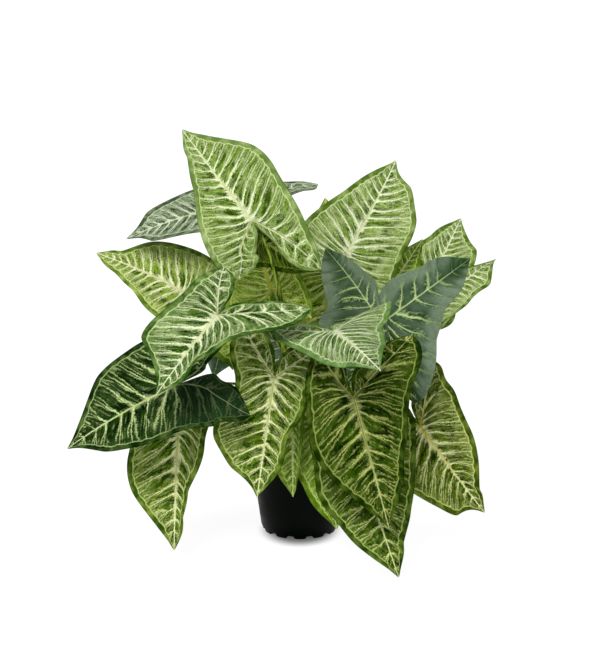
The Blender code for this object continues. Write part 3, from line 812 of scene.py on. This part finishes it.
def top_primaries(t, look):
    """Laterals, widest by the ribs and at the junction, and the soft glow beside them."""
    near = t.math("SUBTRACT", 1.0, t.out, clamp=True) ** 1.6 * t.ramp(t.toward, 0.05, 0.5, 0.1, 1.0)
    width = (0.042 + near * (0.034 + t.root * 0.02)) * (0.5 + t.streak)
    might = t.ramp(t.noise_at(t.cell, t.out * 1.4, 0.0), 0.34, 0.6, 0.4, 1.1)
    basal = t.exp((t.bent * 1.8) ** 2.0 * -1.0)
    width = width * (might + basal * 0.5) * look.get("line", 1.0)
    primary = t.stripe(t.first, width, 0.55, 1.4) * t.ramp(t.out, 0.1, 1.0, 1.0, 0.8)
    glow = t.fade(t.first, width, width * 4.5) * t.ramp(t.strokes, 0.44, 0.56)
    return primary, glow


def top_branches(t, look):
    """Side branches that fork from each lateral toward the margin, and faint lines between laterals."""
    fork = t.ramp(t.out, 0.08, 1.0, 0.0, 0.42, "LINEAR") + (t.gate - 0.5) * 0.35
    width = (0.3 + t.streak * 1.4) * 0.04
    second = t.stripe(abs(t.first - fork), width, 0.4, 1.8) * t.ramp(t.gate, 0.4, 0.52, 0.1, 1.0)
    between = t.stripe(abs(t.first - 0.5 + (t.gate - 0.5) * 0.3), width, 0.3, 1.5)
    return t.largest(second, between * t.ramp(t.strokes, 0.4, 0.54, 0.0, look.get("between", 0.35)))


def top_feathers(t):
    """Feathered strokes that leave each lateral at a slant."""
    close = t.ramp(t.first, 0.06, 0.46, 1.0, 0.0, "LINEAR")
    return t.ramp(t.strokes + (close - 0.5) * 0.16 + t.grain * 0.3, 0.51, 0.565)


def top_lines(t, look):
    primary, glow = top_primaries(t, look)
    lines = t.largest(
        glow * look.get("glow", 0.25),
        top_feathers(t) * look.get("feather", 0.3),
        top_branches(t, look) * look.get("second", 0.68),
        primary * look.get("first", 1.0),
    )
    return t.spared(lines * t.inside * t.ramp(t.grain, -0.2, 0.02, 0.6, 1.0), 0.85)


def top_brush(t):
    """Cream brushed outward from the ribs, strongest at the junction."""
    reach = 1.2 + (1.0 - t.toward) * 1.2
    brush = t.strokes * 0.55 + t.streak * 0.45 - t.out * reach + (0.25 - t.first) * 0.3 + t.root * 0.07
    return t.spared(t.ramp(brush, 0.36, 0.48) * t.inside, 1.0)


def top_margin(t, look, colour):
    """Plain band, the vein that gathers the laterals along it, and the dark edge."""
    rim = t.mix(t.ramp(t.noise(t.sheet, 0.1, 3.0), 0.34, 0.8), look["rim"], look["rim_light"])
    colour = t.mix(t.fade(t.edge, 0.8, 1.02), colour, rim)
    scallop = t.edge + (t.first - 0.25) * 0.45 + (t.wander - 0.5) * 0.3
    collect = t.fade(abs(scallop - 1.0), 0.04, 0.17) * t.ramp(t.streak, 0.36, 0.56, 0.55, 1.0)
    colour = t.mix(t.spared(collect, 0.85) * 0.85, colour, look["margin_vein"])
    return t.mix(t.ramp(t.edge, 0.0, 0.16, 0.55, 0.0), colour, look["deep"])


def top_ribs(t, look):
    """Midrib and lobe ribs, thinner toward their tips."""
    wide = (0.5 + t.toward**1.2) * (0.4 + t.strokes * 1.2) * look.get("rib", 1.0)
    return t.spared(t.stripe(t.rib, wide, 0.5, 1.4) * t.ramp(t.strokes, 0.34, 0.5, 0.6, 1.0), 0.65)


def leaf_top(name, look):
    """Upper face: streaked green ground, cream laterals and ribs, plain margin band."""
    t = BladeTree(name)
    draw_laterals(t, look)
    vein = t.mix(t.ramp(t.out, 0.3, 1.0, 0.0, 0.4), look["vein"], look["pale"])
    colour = t.mix(top_lines(t, look), top_ground(t, look), vein)
    colour = t.mix(top_brush(t) * look.get("brush", 0.8), colour, look["cream"])
    colour = top_margin(t, look, colour)
    ribs = top_ribs(t, look)
    rib_colour = t.mix(t.ramp(t.slow, 0.4, 0.62), look["rib_colour"], look["rib_warm"])
    rib_colour = t.mix(t.ramp(t.toward, 0.25, 0.62, 0.85, 0.0), rib_colour, look["cream"])
    colour = t.mix(ribs * 0.92, colour, rib_colour)
    core = t.ramp(t.toward, 0.3, 0.75) * look.get("core_share", 0.0)
    colour = t.mix(t.fade(t.rib, 0.25, 0.7) * core, colour, look["core"])
    t.surface(colour, t.ramp(t.fine, 0.2, 0.8, 0.46, 0.6), 0.01)
    t.bump((t.ramp(t.first, 0.0, 0.4) - ribs) * t.inside + t.fine * 0.22, 0.0009, 0.75)
    return t.material


# Lower face of a blade
def under_lines(t):
    """Raised laterals, barbs and feathered strokes, which all grow faint toward the tips."""
    width = (0.06 - t.out * 0.034) * (0.2 + t.streak * 1.4)
    primary = t.stripe(t.first, width, 0.5, 1.5) * t.ramp(t.out, 0.25, 0.95, 1.0, 0.15)
    primary = primary * (t.close * 0.85 + 0.12)
    barb = t.from_line(t.out * 9.0 - t.first * 3.4 + t.gate * 3.0)
    barb = t.fade(barb, 0.05, 0.15) * t.fade(t.first, 0.06, 0.3)
    barb = barb * (t.ramp(t.gate, 0.45, 0.6) * t.fade(t.out, 0.2, 0.8)) * t.close
    strokes = t.noise_at(t.first * 6.0 - t.out * 6.0, t.out * 7.0, t.side, 3.0, 0.7)
    feather = t.ramp(strokes, 0.5, 0.6) * t.ramp(t.first, 0.05, 0.36, 0.7, 0.0)
    feather = feather * (t.close * t.ramp(t.out, 0.3, 0.9, 1.0, 0.2))
    return t.largest(primary * 0.95, barb * 0.6, feather)


def under_ground(t, look):
    """Green with painted light over its relief: painted shade in the hollows along the veins and painted
    sheen between them and toward the margins, over broad random patches; darker by the tips, on the lobes and
    where the streaks run.
    """
    # Painted light over the relief: low in the hollows by the veins and on the lobes and tips, high between
    # the veins and toward the margins, with broad random patches
    painted_quilt_light_and_tone = (
        t.ramp(t.first, 0.02, 0.45, 0.42, 0.76)
        + (t.noise(t.sheet, 0.03, 1.0) - 0.5) * 1.8
        + t.ramp(t.edge, 0.8, 4.0, 0.5, 0.0)
        + t.ramp(t.toward, 0.08, 0.38, -0.7, 0.0)
        + t.ramp(t.line, -4.5, -1.0, -0.45, 0.0)
        + t.ramp(t.out, 0.25, 1.0, -0.1, 0.3)
    )
    # The dark end paints shade and the lightest tone paints sheen.
    colour = t.mix(t.ramp(painted_quilt_light_and_tone, 0.1, 0.85), look["under_deep"], look["under"])
    colour = t.mix(t.ramp(painted_quilt_light_and_tone, 0.6, 1.35), colour, look["under_light"])
    colour = t.mix(t.ramp(t.streak, 0.42, 0.62) * 0.2, colour, look["under_deep"])
    # painted shade: darker in the grooves along the veins, most where the veins fade
    painted_vein_groove_shade = t.fade(t.first, 0.04, 0.2) * t.ramp(t.close, 0.1, 0.7, 0.38, 0.12)
    return t.mix(painted_vein_groove_shade, colour, look["under_deep"])


def under_ribs(t):
    wide = (0.2 + t.toward * 0.65) * (0.5 + t.streak)
    ribs = t.stripe(t.rib, wide, 0.5, 1.4) * t.ramp(t.streak, 0.36, 0.56, 0.5, 0.9)
    return ribs * t.ramp(t.toward, 0.05, 0.5, 0.45, 1.0)


def leaf_under(name, look):
    """Lower face: softly glossy green with painted shade and sheen over its relief, between raised lighter
    veins.
    """
    t = BladeTree(name)
    wander = t.noise(t.sheet, 0.07, 1.0)
    fine = t.noise(t.sheet, 0.9, 2.0)
    wider = t.line * 0.6
    spacing = t.noise_at(wider, t.side, 0.0)
    bent = wider + (spacing - 0.5) * 0.9 + (wander - 0.5) * 0.3 + (fine - 0.5) * 0.16
    t.first = t.from_line(bent)
    t.streak = t.noise_at(bent * 8.0, t.out * 8.0, t.side, 2.0, 0.6)
    t.gate = t.noise_at(bent * 0.9, t.out * 2.0, t.side)
    close = t.toward + (t.gate - 0.5) * 0.5 + t.ramp(t.line, -2.2, -0.4, 0.4, 0.0)
    t.close = t.ramp(close, 0.18, 0.8)
    lines = under_lines(t)
    ribs = under_ribs(t)
    colour = t.mix(lines, under_ground(t, look), look["under_vein"])
    colour = t.mix(ribs, colour, look["under_vein"])
    t.surface(colour, t.ramp(fine, 0.2, 0.8, 0.46, 0.6), 0.12)
    height = t.fade(t.first, 0.0, 0.45) * -1.2 + ribs * 0.8 + lines * 0.3 + fine * 0.12
    t.bump(height, 0.0008, 0.7)
    return t.material


# Colours of the leaves
def srgb(r, g, b):
    """Display values 0 to 255 as scene linear."""
    out = []
    for c in (r, g, b):
        c /= 255.0
        out.append(c / 12.92 if c < 0.04045 else ((c + 0.055) / 1.055) ** 2.4)
    return tuple(out)


def blend(a, b, share):
    return tuple(x + (y - x) * share for x, y in zip(a, b))


def palette(slot, deep, ground, vein, **more):
    """All colours of a leaf from its dark ground, its ground and its veins, with what it names itself."""
    colours = {
        "deep": deep,
        "ground": ground,
        "vein": vein,
        "pale": blend(ground, vein, 0.34),
        "margin_vein": blend(vein, ground, 0.22),
        "cream": blend(vein, (244, 248, 226), 0.2),
        "rim": blend(deep, ground, 0.34),
        "rim_light": blend(ground, vein, 0.3),
        "rib_colour": blend(vein, (204, 204, 130), 0.3),
        "rib_warm": blend(vein, (190, 198, 90), 0.4),
        "core": blend(deep, (120, 96, 44), 0.8),
        # painted sheen of a bare lobe: a lighter blue-grey green
        "satin": blend(deep, (40, 62, 50), 0.7),
        # Lower face: its green, its lighter tone that paints sheen, its deep tone that also paints the shade
        # in its hollows, and its veins
        "under": (74, 98, 72),
        "under_light": (122, 142, 116),
        "under_deep": (36, 64, 26),
        "under_vein": (210, 236, 160),
    }
    look = {key: srgb(*more.pop(key, colour)) for key, colour in colours.items()}
    return {**look, **more, "slot": slot}


LOOKS = {
    "sage": palette("leaf_cream", (44, 74, 0), (120, 152, 52), (238, 250, 194), rim=(98, 128, 54),
        rim_light=(172, 194, 122), feather=0.26, line=1.35, brush=0.9),
    "bright_sage": palette("leaf_cream", (46, 78, 0), (132, 162, 62), (246, 255, 206), pale_share=0.8,
        feather=0.28, line=1.3),
    "grey_sage": palette("leaf_cream", (34, 52, 24), (128, 148, 108), (240, 252, 216), line=1.3),
    "lemon": palette("leaf_cream", (44, 78, 0), (142, 174, 48), (252, 255, 198), pale_share=0.8,
        feather=0.28, line=1.45),
    "cool": palette("leaf_cream", (18, 54, 2), (84, 122, 36), (244, 254, 202), feather=0.2, line=1.3,
        count=0.9),
    "frost": palette("leaf_cream", (36, 74, 6), (110, 146, 58), (248, 255, 216), rim=(94, 130, 62),
        rim_light=(144, 176, 108), feather=0.26, line=1.2),
    "night": palette("leaf_deep", (0, 26, 0), (30, 60, 10), (216, 238, 160), bare=-1.0, brush=0.3,
        feather=0.04, glow=0.06, line=0.8, second=0.7, count=0.74, pale_share=0.2),
    "olive": palette("leaf_green", (2, 22, 0), (46, 76, 0), (182, 192, 106), core_share=0.85, feather=0.08,
        glow=0.1, brush=0.35, between=0.7, count=0.72, line=0.8, pale_share=0.3),
    # grove: olive made lighter, painted light for the lowest leaf, which lies in shade
    "grove": palette("leaf_green", (12, 38, 0), (64, 94, 4), (214, 228, 140), core_share=0.4, feather=0.1,
        glow=0.14, brush=0.5, between=0.6, count=0.76, line=0.85, pale_share=0.45),
    "moss": palette("leaf_green", (22, 52, 0), (88, 120, 10), (238, 246, 172), core_share=0.35, feather=0.2,
        line=1.1, count=0.84, between=0.45),
    "amber": palette("leaf_green", (26, 46, 0), (84, 108, 4), (238, 244, 168), rib_colour=(224, 214, 110),
        rib_warm=(206, 192, 44), feather=0.16, brush=0.7, line=0.95, count=0.86, between=0.45),
    # fern: a lighter green with less contrast, painted light for leaves that lie in shade
    "fern": palette("leaf_green", (62, 96, 2), (122, 154, 40), (220, 240, 144), feather=0.2),
    # young: the yellow-green of young leaves, lightened as well: partly painted light for inner leaves shaded
    # by those above
    "young": palette("leaf_young", (54, 94, 0), (150, 184, 50), (240, 252, 150), rib_colour=(200, 210, 70),
        rib_warm=(176, 190, 24), feather=0.5, rib=1.7),
    # shade: a darker copy with dim veins, painted shade for the small leaf tucked under the top leaf
    "shade": palette("leaf_deep", (14, 32, 0), (58, 84, 6), (150, 176, 72), first=0.85, second=0.45),
}


# Other materials
def petiole_material():
    t = Tree("petiole_skin")
    place = t.place()
    broad = t.noise(place, 60.0, 2.0)
    fine = t.noise(place, 900.0, 2.0)
    streaks = t.node("ShaderNodeMapping")
    streaks.inputs["Scale"].default_value = (600.0, 600.0, 30.0)
    streak = t.noise(t.fed(streaks, (place,)), 1.0, 2.0)
    colour = t.mix(t.ramp(broad, 0.35, 0.65), srgb(40, 66, 0), srgb(98, 126, 8))
    # painted highlight: pale lengthwise streaks scattered over the petiole
    colour = t.mix(t.ramp(streak, 0.46, 0.56) * 0.85, colour, srgb(166, 188, 70))
    colour = t.mix(t.ramp(fine, 0.55, 0.75) * 0.4, colour, srgb(36, 46, 0))
    t.surface(colour, t.ramp(fine, 0.2, 0.8, 0.42, 0.56), 0.12)
    t.bump(streak, 0.0003, 0.4)
    return t.material


def pot_material():
    t = Tree("pot_plastic")
    place = t.place()
    grain = t.noise(place, 1600.0, 2.0)
    dust = t.noise(place, 55.0, 4.0, 0.6)
    colour = t.mix(t.ramp(dust, 0.45, 0.8), srgb(1, 4, 1), srgb(5, 11, 6))
    t.surface(colour, t.ramp(dust, 0.3, 0.7, 0.34, 0.5), 0.04)
    t.bump(grain, 0.00012, 0.35)
    return t.material


def soil_material():
    t = Tree("potting_mix")
    place = t.place()
    grains = t.node("ShaderNodeTexVoronoi", feature="F1")
    grains.inputs["Scale"].default_value = 420.0
    crumbs = t.fed(grains, (place,))
    broad = t.noise(place, 130.0, 4.0, 0.65)
    fine = t.noise(place, 1500.0, 3.0)
    colour = t.mix(t.ramp(broad, 0.3, 0.7), srgb(34, 24, 17), srgb(74, 55, 38))
    colour = t.mix(t.ramp(fine, 0.5, 0.75) * 0.5, colour, srgb(104, 84, 60))
    # painted shade: darker in the gaps between the crumbs, where the bump sinks
    colour = t.mix(t.ramp(crumbs, 0.25, 0.7, 0.0, 0.6), colour, srgb(20, 14, 10))
    t.surface(colour, t.ramp(fine, 0.2, 0.8, 0.85, 1.0))
    t.bump(crumbs * -1.0 + fine * 0.6, 0.0012, 0.9)
    return t.material


# Plant
def build_leaves():
    """All the blades in their looks; gives the blades that each stem carries, with their bends."""
    faces = {}
    for name, look in LOOKS.items():
        faces[name] = (leaf_top("leaf_top_" + name, look), leaf_under("leaf_underside_" + name, look))
    carried = {name: [] for name in STEMS}
    for number, row in enumerate(LEAVES):
        ob, blade = build_leaf(row, number + 1)
        for material in faces[row.look]:
            ob.data.materials.append(material)
        carried[row.stem].append((blade, row.bends))
    return carried


def build_stem(name, carried, skin):
    """Stem with the petioles that branch from its upper part, one above the other."""
    line = stem_line(name)
    trunk = rounded(line, CURVE_STEPS)
    shapes = [(trunk, [STEM_RADIUS * STEM_FIT] * len(trunk), STEM_SIDES)]
    last = max(len(carried) - 1, 1)
    for k, (blade, bends) in enumerate(carried):
        start = line[-2] + (line[-1] - line[-2]) * (PETIOLE_LOWEST + PETIOLE_ROOM * k / last)
        path = rounded(petiole_line(start, blade, bends), CURVE_STEPS)
        steps = len(path) - 1
        radii = [PETIOLE_RADIUS * (PETIOLE_SWELL - PETIOLE_TAPER * step / steps) for step in range(steps + 1)]
        shapes.append((path, radii, PETIOLE_SIDES))
    points = []
    faces = []
    for path, radii, sides in shapes:
        p, f = tube(path, radii, sides)
        faces += [tuple(i + len(points) for i in ring) for ring in f]
        points += p
    ob = new_mesh(name + "_skin", points, faces)
    ob.data.materials.append(skin)
    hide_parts(name)
    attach(ob, "root")


blades_by_stem = build_leaves()
petiole_skin = petiole_material()
for stem_name in STEMS:
    build_stem(stem_name, blades_by_stem[stem_name], petiole_skin)


# Pot
def wall_radius(height):
    share = (height - POT_BASE_HEIGHT) / (POT_SHOULDER - POT_BASE_HEIGHT)
    return POT_BASE_RADIUS + (POT_TOP_RADIUS - POT_RIM_STEP - POT_BASE_RADIUS) * share


def lathe(profile, segments):
    """Closed surface of a profile of (radius, height) turned about the upright axis."""
    points = []
    rings = []
    for radius, height in profile:
        if radius == 0.0:
            rings.append([len(points)] * segments)
            points.append((0.0, 0.0, height))
            continue
        rings.append(list(range(len(points), len(points) + segments)))
        points += circle(radius, height, segments)
    faces = []
    for low, high in zip(rings, rings[1:]):
        for s in range(segments):
            n = (s + 1) % segments
            corners = []
            for c in (low[s], low[n], high[n], high[s]):
                if c not in corners:
                    corners.append(c)
            if len(corners) > 2:
                faces.append(tuple(corners))
    return points, faces


def pot_profile():
    """Foot, outer wall, rolled rim, inner wall and floor, from the axis round to the axis."""
    lip = POT_TOP_RADIUS
    return [
        (0.0, 0.0),
        (BOSS_RADIUS, 0.0),
        (BOSS_RADIUS + 0.0012, FOOT_RISE),
        (FOOT_RADIUS - 0.0040, FOOT_RISE),
        (FOOT_RADIUS - 0.0030, 0.0),
        (FOOT_RADIUS - 0.0004, 0.0),
        (FOOT_RADIUS + 0.0002, 0.0004),
        (POT_BASE_RADIUS - 0.0008, 0.0048),
        (POT_BASE_RADIUS - 0.0001, 0.0062),
        (wall_radius(0.03), 0.03),
        (wall_radius(0.055), 0.055),
        (wall_radius(POT_SHOULDER - 0.0006), POT_SHOULDER - 0.0006),
        (wall_radius(POT_SHOULDER) + 0.0003, POT_SHOULDER),
        (lip - 0.0006, POT_SHOULDER + 0.0006),
        (lip - 0.0002, POT_SHOULDER + 0.0012),
        (lip, POT_HEIGHT - 0.0016),
        (lip - 0.0002, POT_HEIGHT - 0.0006),
        (lip - 0.0007, POT_HEIGHT),
        (lip - 0.0013, POT_HEIGHT),
        (lip - 0.0018, POT_HEIGHT - 0.0007),
        (lip - 0.0020, POT_HEIGHT - 0.0018),
        (wall_radius(POT_SHOULDER) - POT_WALL, POT_SHOULDER),
        (wall_radius(POT_FLOOR + 0.002) - POT_WALL, POT_FLOOR + 0.002),
        (wall_radius(POT_FLOOR) - POT_WALL - 0.0020, POT_FLOOR),
        (0.0, POT_FLOOR),
    ]


def build_pot():
    """Turned shell whose foot ring is raised at even notches."""
    points, faces = lathe(pot_profile(), NOTCH_COUNT * NOTCH_STEPS)
    points = np.array(points)
    angle = np.arctan2(points[:, 1], points[:, 0])
    turn = 2.0 * math.pi / NOTCH_COUNT
    off = np.abs((angle / turn) % 1.0 - 0.5) * turn * FOOT_RADIUS
    radius = np.hypot(points[:, 0], points[:, 1])
    foot = (radius > FOOT_RADIUS - FOOT_RING) & (points[:, 2] < FOOT_RISE)
    raised = smooth((NOTCH_WIDTH / 2 + NOTCH_SLOPE / 2 - off) / NOTCH_SLOPE)
    points[:, 2] = np.where(foot, np.maximum(points[:, 2], raised * (FOOT_RISE - NOTCH_LIP)), points[:, 2])
    ob = new_mesh("pot_shell", points, faces)
    ob.data.set_sharp_from_angle(angle=SHARP_FROM)
    return ob


pot = build_pot()
pot.data.materials.append(pot_material())
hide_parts("pot")
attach(pot, "root")


# Soil
def ripple(wave, along, across):
    """Height from -1 to 1 of a wave that runs one way and sways with the other."""
    turns, sway, bends = wave
    return math.sin(turns * along + sway * math.sin(bends * across))


def soil_filling(rng, rim):
    """Round filling with a rough top that drops a little toward the pot."""
    rings, segments = SOIL_GRID
    points = [(0.0, 0.0, SOIL_LEVEL)]
    for i in range(1, rings + 1):
        for x, y, _ in circle(rim * i / rings, 0.0, segments):
            rough = SOIL_SWELL * ripple(SOIL_WAVES[0], x, y) * ripple(SOIL_WAVES[1], y, x)
            rough += rng.uniform(-SOIL_GRAIN, SOIL_GRAIN)
            z = SOIL_LEVEL - SOIL_SINK + rough - SOIL_EDGE_DROP * (i / rings) ** SOIL_EDGE_CURVE
            points.append((x, y, z))
    low = len(points)
    points += circle(rim, SOIL_LEVEL - SOIL_DEPTH, segments)
    faces = [(0, 1 + s, 1 + (s + 1) % segments) for s in range(segments)]
    for i in range(rings):
        for s in range(segments):
            a = 1 + i * segments + s
            b = 1 + i * segments + (s + 1) % segments
            faces.append((a, a + segments, b + segments, b))
    faces.append(tuple(range(low, low + segments)))
    return points, faces


def add_crumbs(rng, rim, points, faces):
    """Loose crumbs on the soil, clear of the stems."""
    feet = [stem_line(name)[0] for name in STEMS]
    for _ in range(CRUMB_COUNT):
        r = rim * CRUMB_SPREAD * math.sqrt(rng.random())
        turn = rng.uniform(0, 2 * math.pi)
        size = rng.uniform(*CRUMB_SIZES) * (1.0 if rng.random() < CRUMB_PLAIN_SHARE else CRUMB_LARGE)
        across = r * math.cos(turn)
        away = r * math.sin(turn)
        if min(math.hypot(across - foot[0], away - foot[1]) for foot in feet) < CRUMB_CLEARANCE:
            continue
        start = len(points)
        spin = rng.uniform(0, math.pi)
        for x, y, z in CRUMB_POINTS:
            x, y = x * math.cos(spin) - y * math.sin(spin), x * math.sin(spin) + y * math.cos(spin)
            reach = size * rng.uniform(*CRUMB_ROUGHNESS)
            lift = SOIL_LEVEL - CRUMB_SINK + z * reach * CRUMB_FLATNESS
            points.append((across + x * reach, away + y * reach, lift))
        faces += [tuple(start + k for k in ring) for ring in CRUMB_FACES]


def build_soil():
    rng = random.Random(SOIL_SEED)
    rim = wall_radius(SOIL_LEVEL) - POT_WALL - SOIL_SIDE_GAP
    points, faces = soil_filling(rng, rim)
    add_crumbs(rng, rim, points, faces)
    ob = new_mesh("soil_bed", points, faces)
    ob.data.set_sharp_from_angle(angle=SHARP_FROM)
    return ob


soil = build_soil()
soil.data.materials.append(soil_material())
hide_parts("soil")
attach(soil, "root")

# Studio: a floor in metres with a painted shade round the foot of the pot, and its light
FLOOR_REACH = 60
FLOOR_LEVEL = -0.0002
FLOOR_GREY = 0.22
FLOOR_ROUGHNESS = 0.9
FLOOR_SHINE = 0.1
FLOOR_GLOW = 0.92
SHADE_GLOW = 0.12
SHADE_BACK = 0.006
SHADE_STRETCH = 0.775
SHADE_START = FOOT_RADIUS - 0.012
SHADE_END = FOOT_RADIUS + 0.008
WORLD_LIGHT = 0.32
CAMERA_LENS = 92.0
CAMERA_SENSOR = 36.0


def floor_material():
    """Pale floor that glows evenly but for a painted shade close round the foot of the pot, where its glow is
    dimmed.
    """
    t = Tree("floor_pale")
    t.surface((FLOOR_GREY, FLOOR_GREY, FLOOR_GREY, 1.0), FLOOR_ROUGHNESS, FLOOR_SHINE)
    t.shader.inputs["Emission Color"].default_value = (1.0, 1.0, 1.0, 1.0)
    x, y, _ = t.split(t.place())
    away = (y + SHADE_BACK) * SHADE_STRETCH
    reach = t.math("SQRT", x * x + away * away)
    # painted shade: the glow drops to SHADE_GLOW in an oval round the foot, longer front to back and set a
    # little forward
    glow = t.ramp(reach, SHADE_START, SHADE_END, SHADE_GLOW, FLOOR_GLOW)
    t.put(t.shader.inputs["Emission Strength"], glow)
    return t.material


floor_signs = ((-1, -1), (1, -1), (1, 1), (-1, 1))
floor_corners = [(x * FLOOR_REACH, y * FLOOR_REACH, FLOOR_LEVEL) for x, y in floor_signs]
floor = new_mesh("floor", floor_corners, [(0, 1, 2, 3)], False)
floor.data.materials.append(floor_material())

world = bpy.data.worlds.new("studio")
bpy.context.scene.world = world
world.use_nodes = True
background = world.node_tree.nodes["Background"]
background.inputs[0].default_value = (1.0, 1.0, 1.0, 1.0)
background.inputs[1].default_value = WORLD_LIGHT


def soft_sun(name, turn, rise, spread, power):
    """Very soft parallel light, with its turn about the upright axis and its height in degrees."""
    data = bpy.data.lights.new(name, "SUN")
    data.energy = power
    data.angle = math.radians(spread)
    ob = bpy.data.objects.new(name, data)
    bpy.context.scene.collection.objects.link(ob)
    ob.rotation_euler = (math.radians(90.0 - rise), 0.0, math.radians(turn))


soft_sun("key", turn=-28.0, rise=52.0, spread=26.0, power=1.85)
soft_sun("fill", turn=50.0, rise=30.0, spread=60.0, power=0.5)

camera_data = bpy.data.cameras.new("camera")
camera_data.lens = CAMERA_LENS
camera_data.sensor_width = CAMERA_SENSOR
camera = bpy.data.objects.new("camera", camera_data)
bpy.context.scene.collection.objects.link(camera)
camera.location = tuple(EYE)
camera.rotation_euler = (math.radians(90.0) - SIGHT_TILT, 0.0, 0.0)
bpy.context.scene.camera = camera
bpy.context.scene.view_settings.view_transform = "Standard"
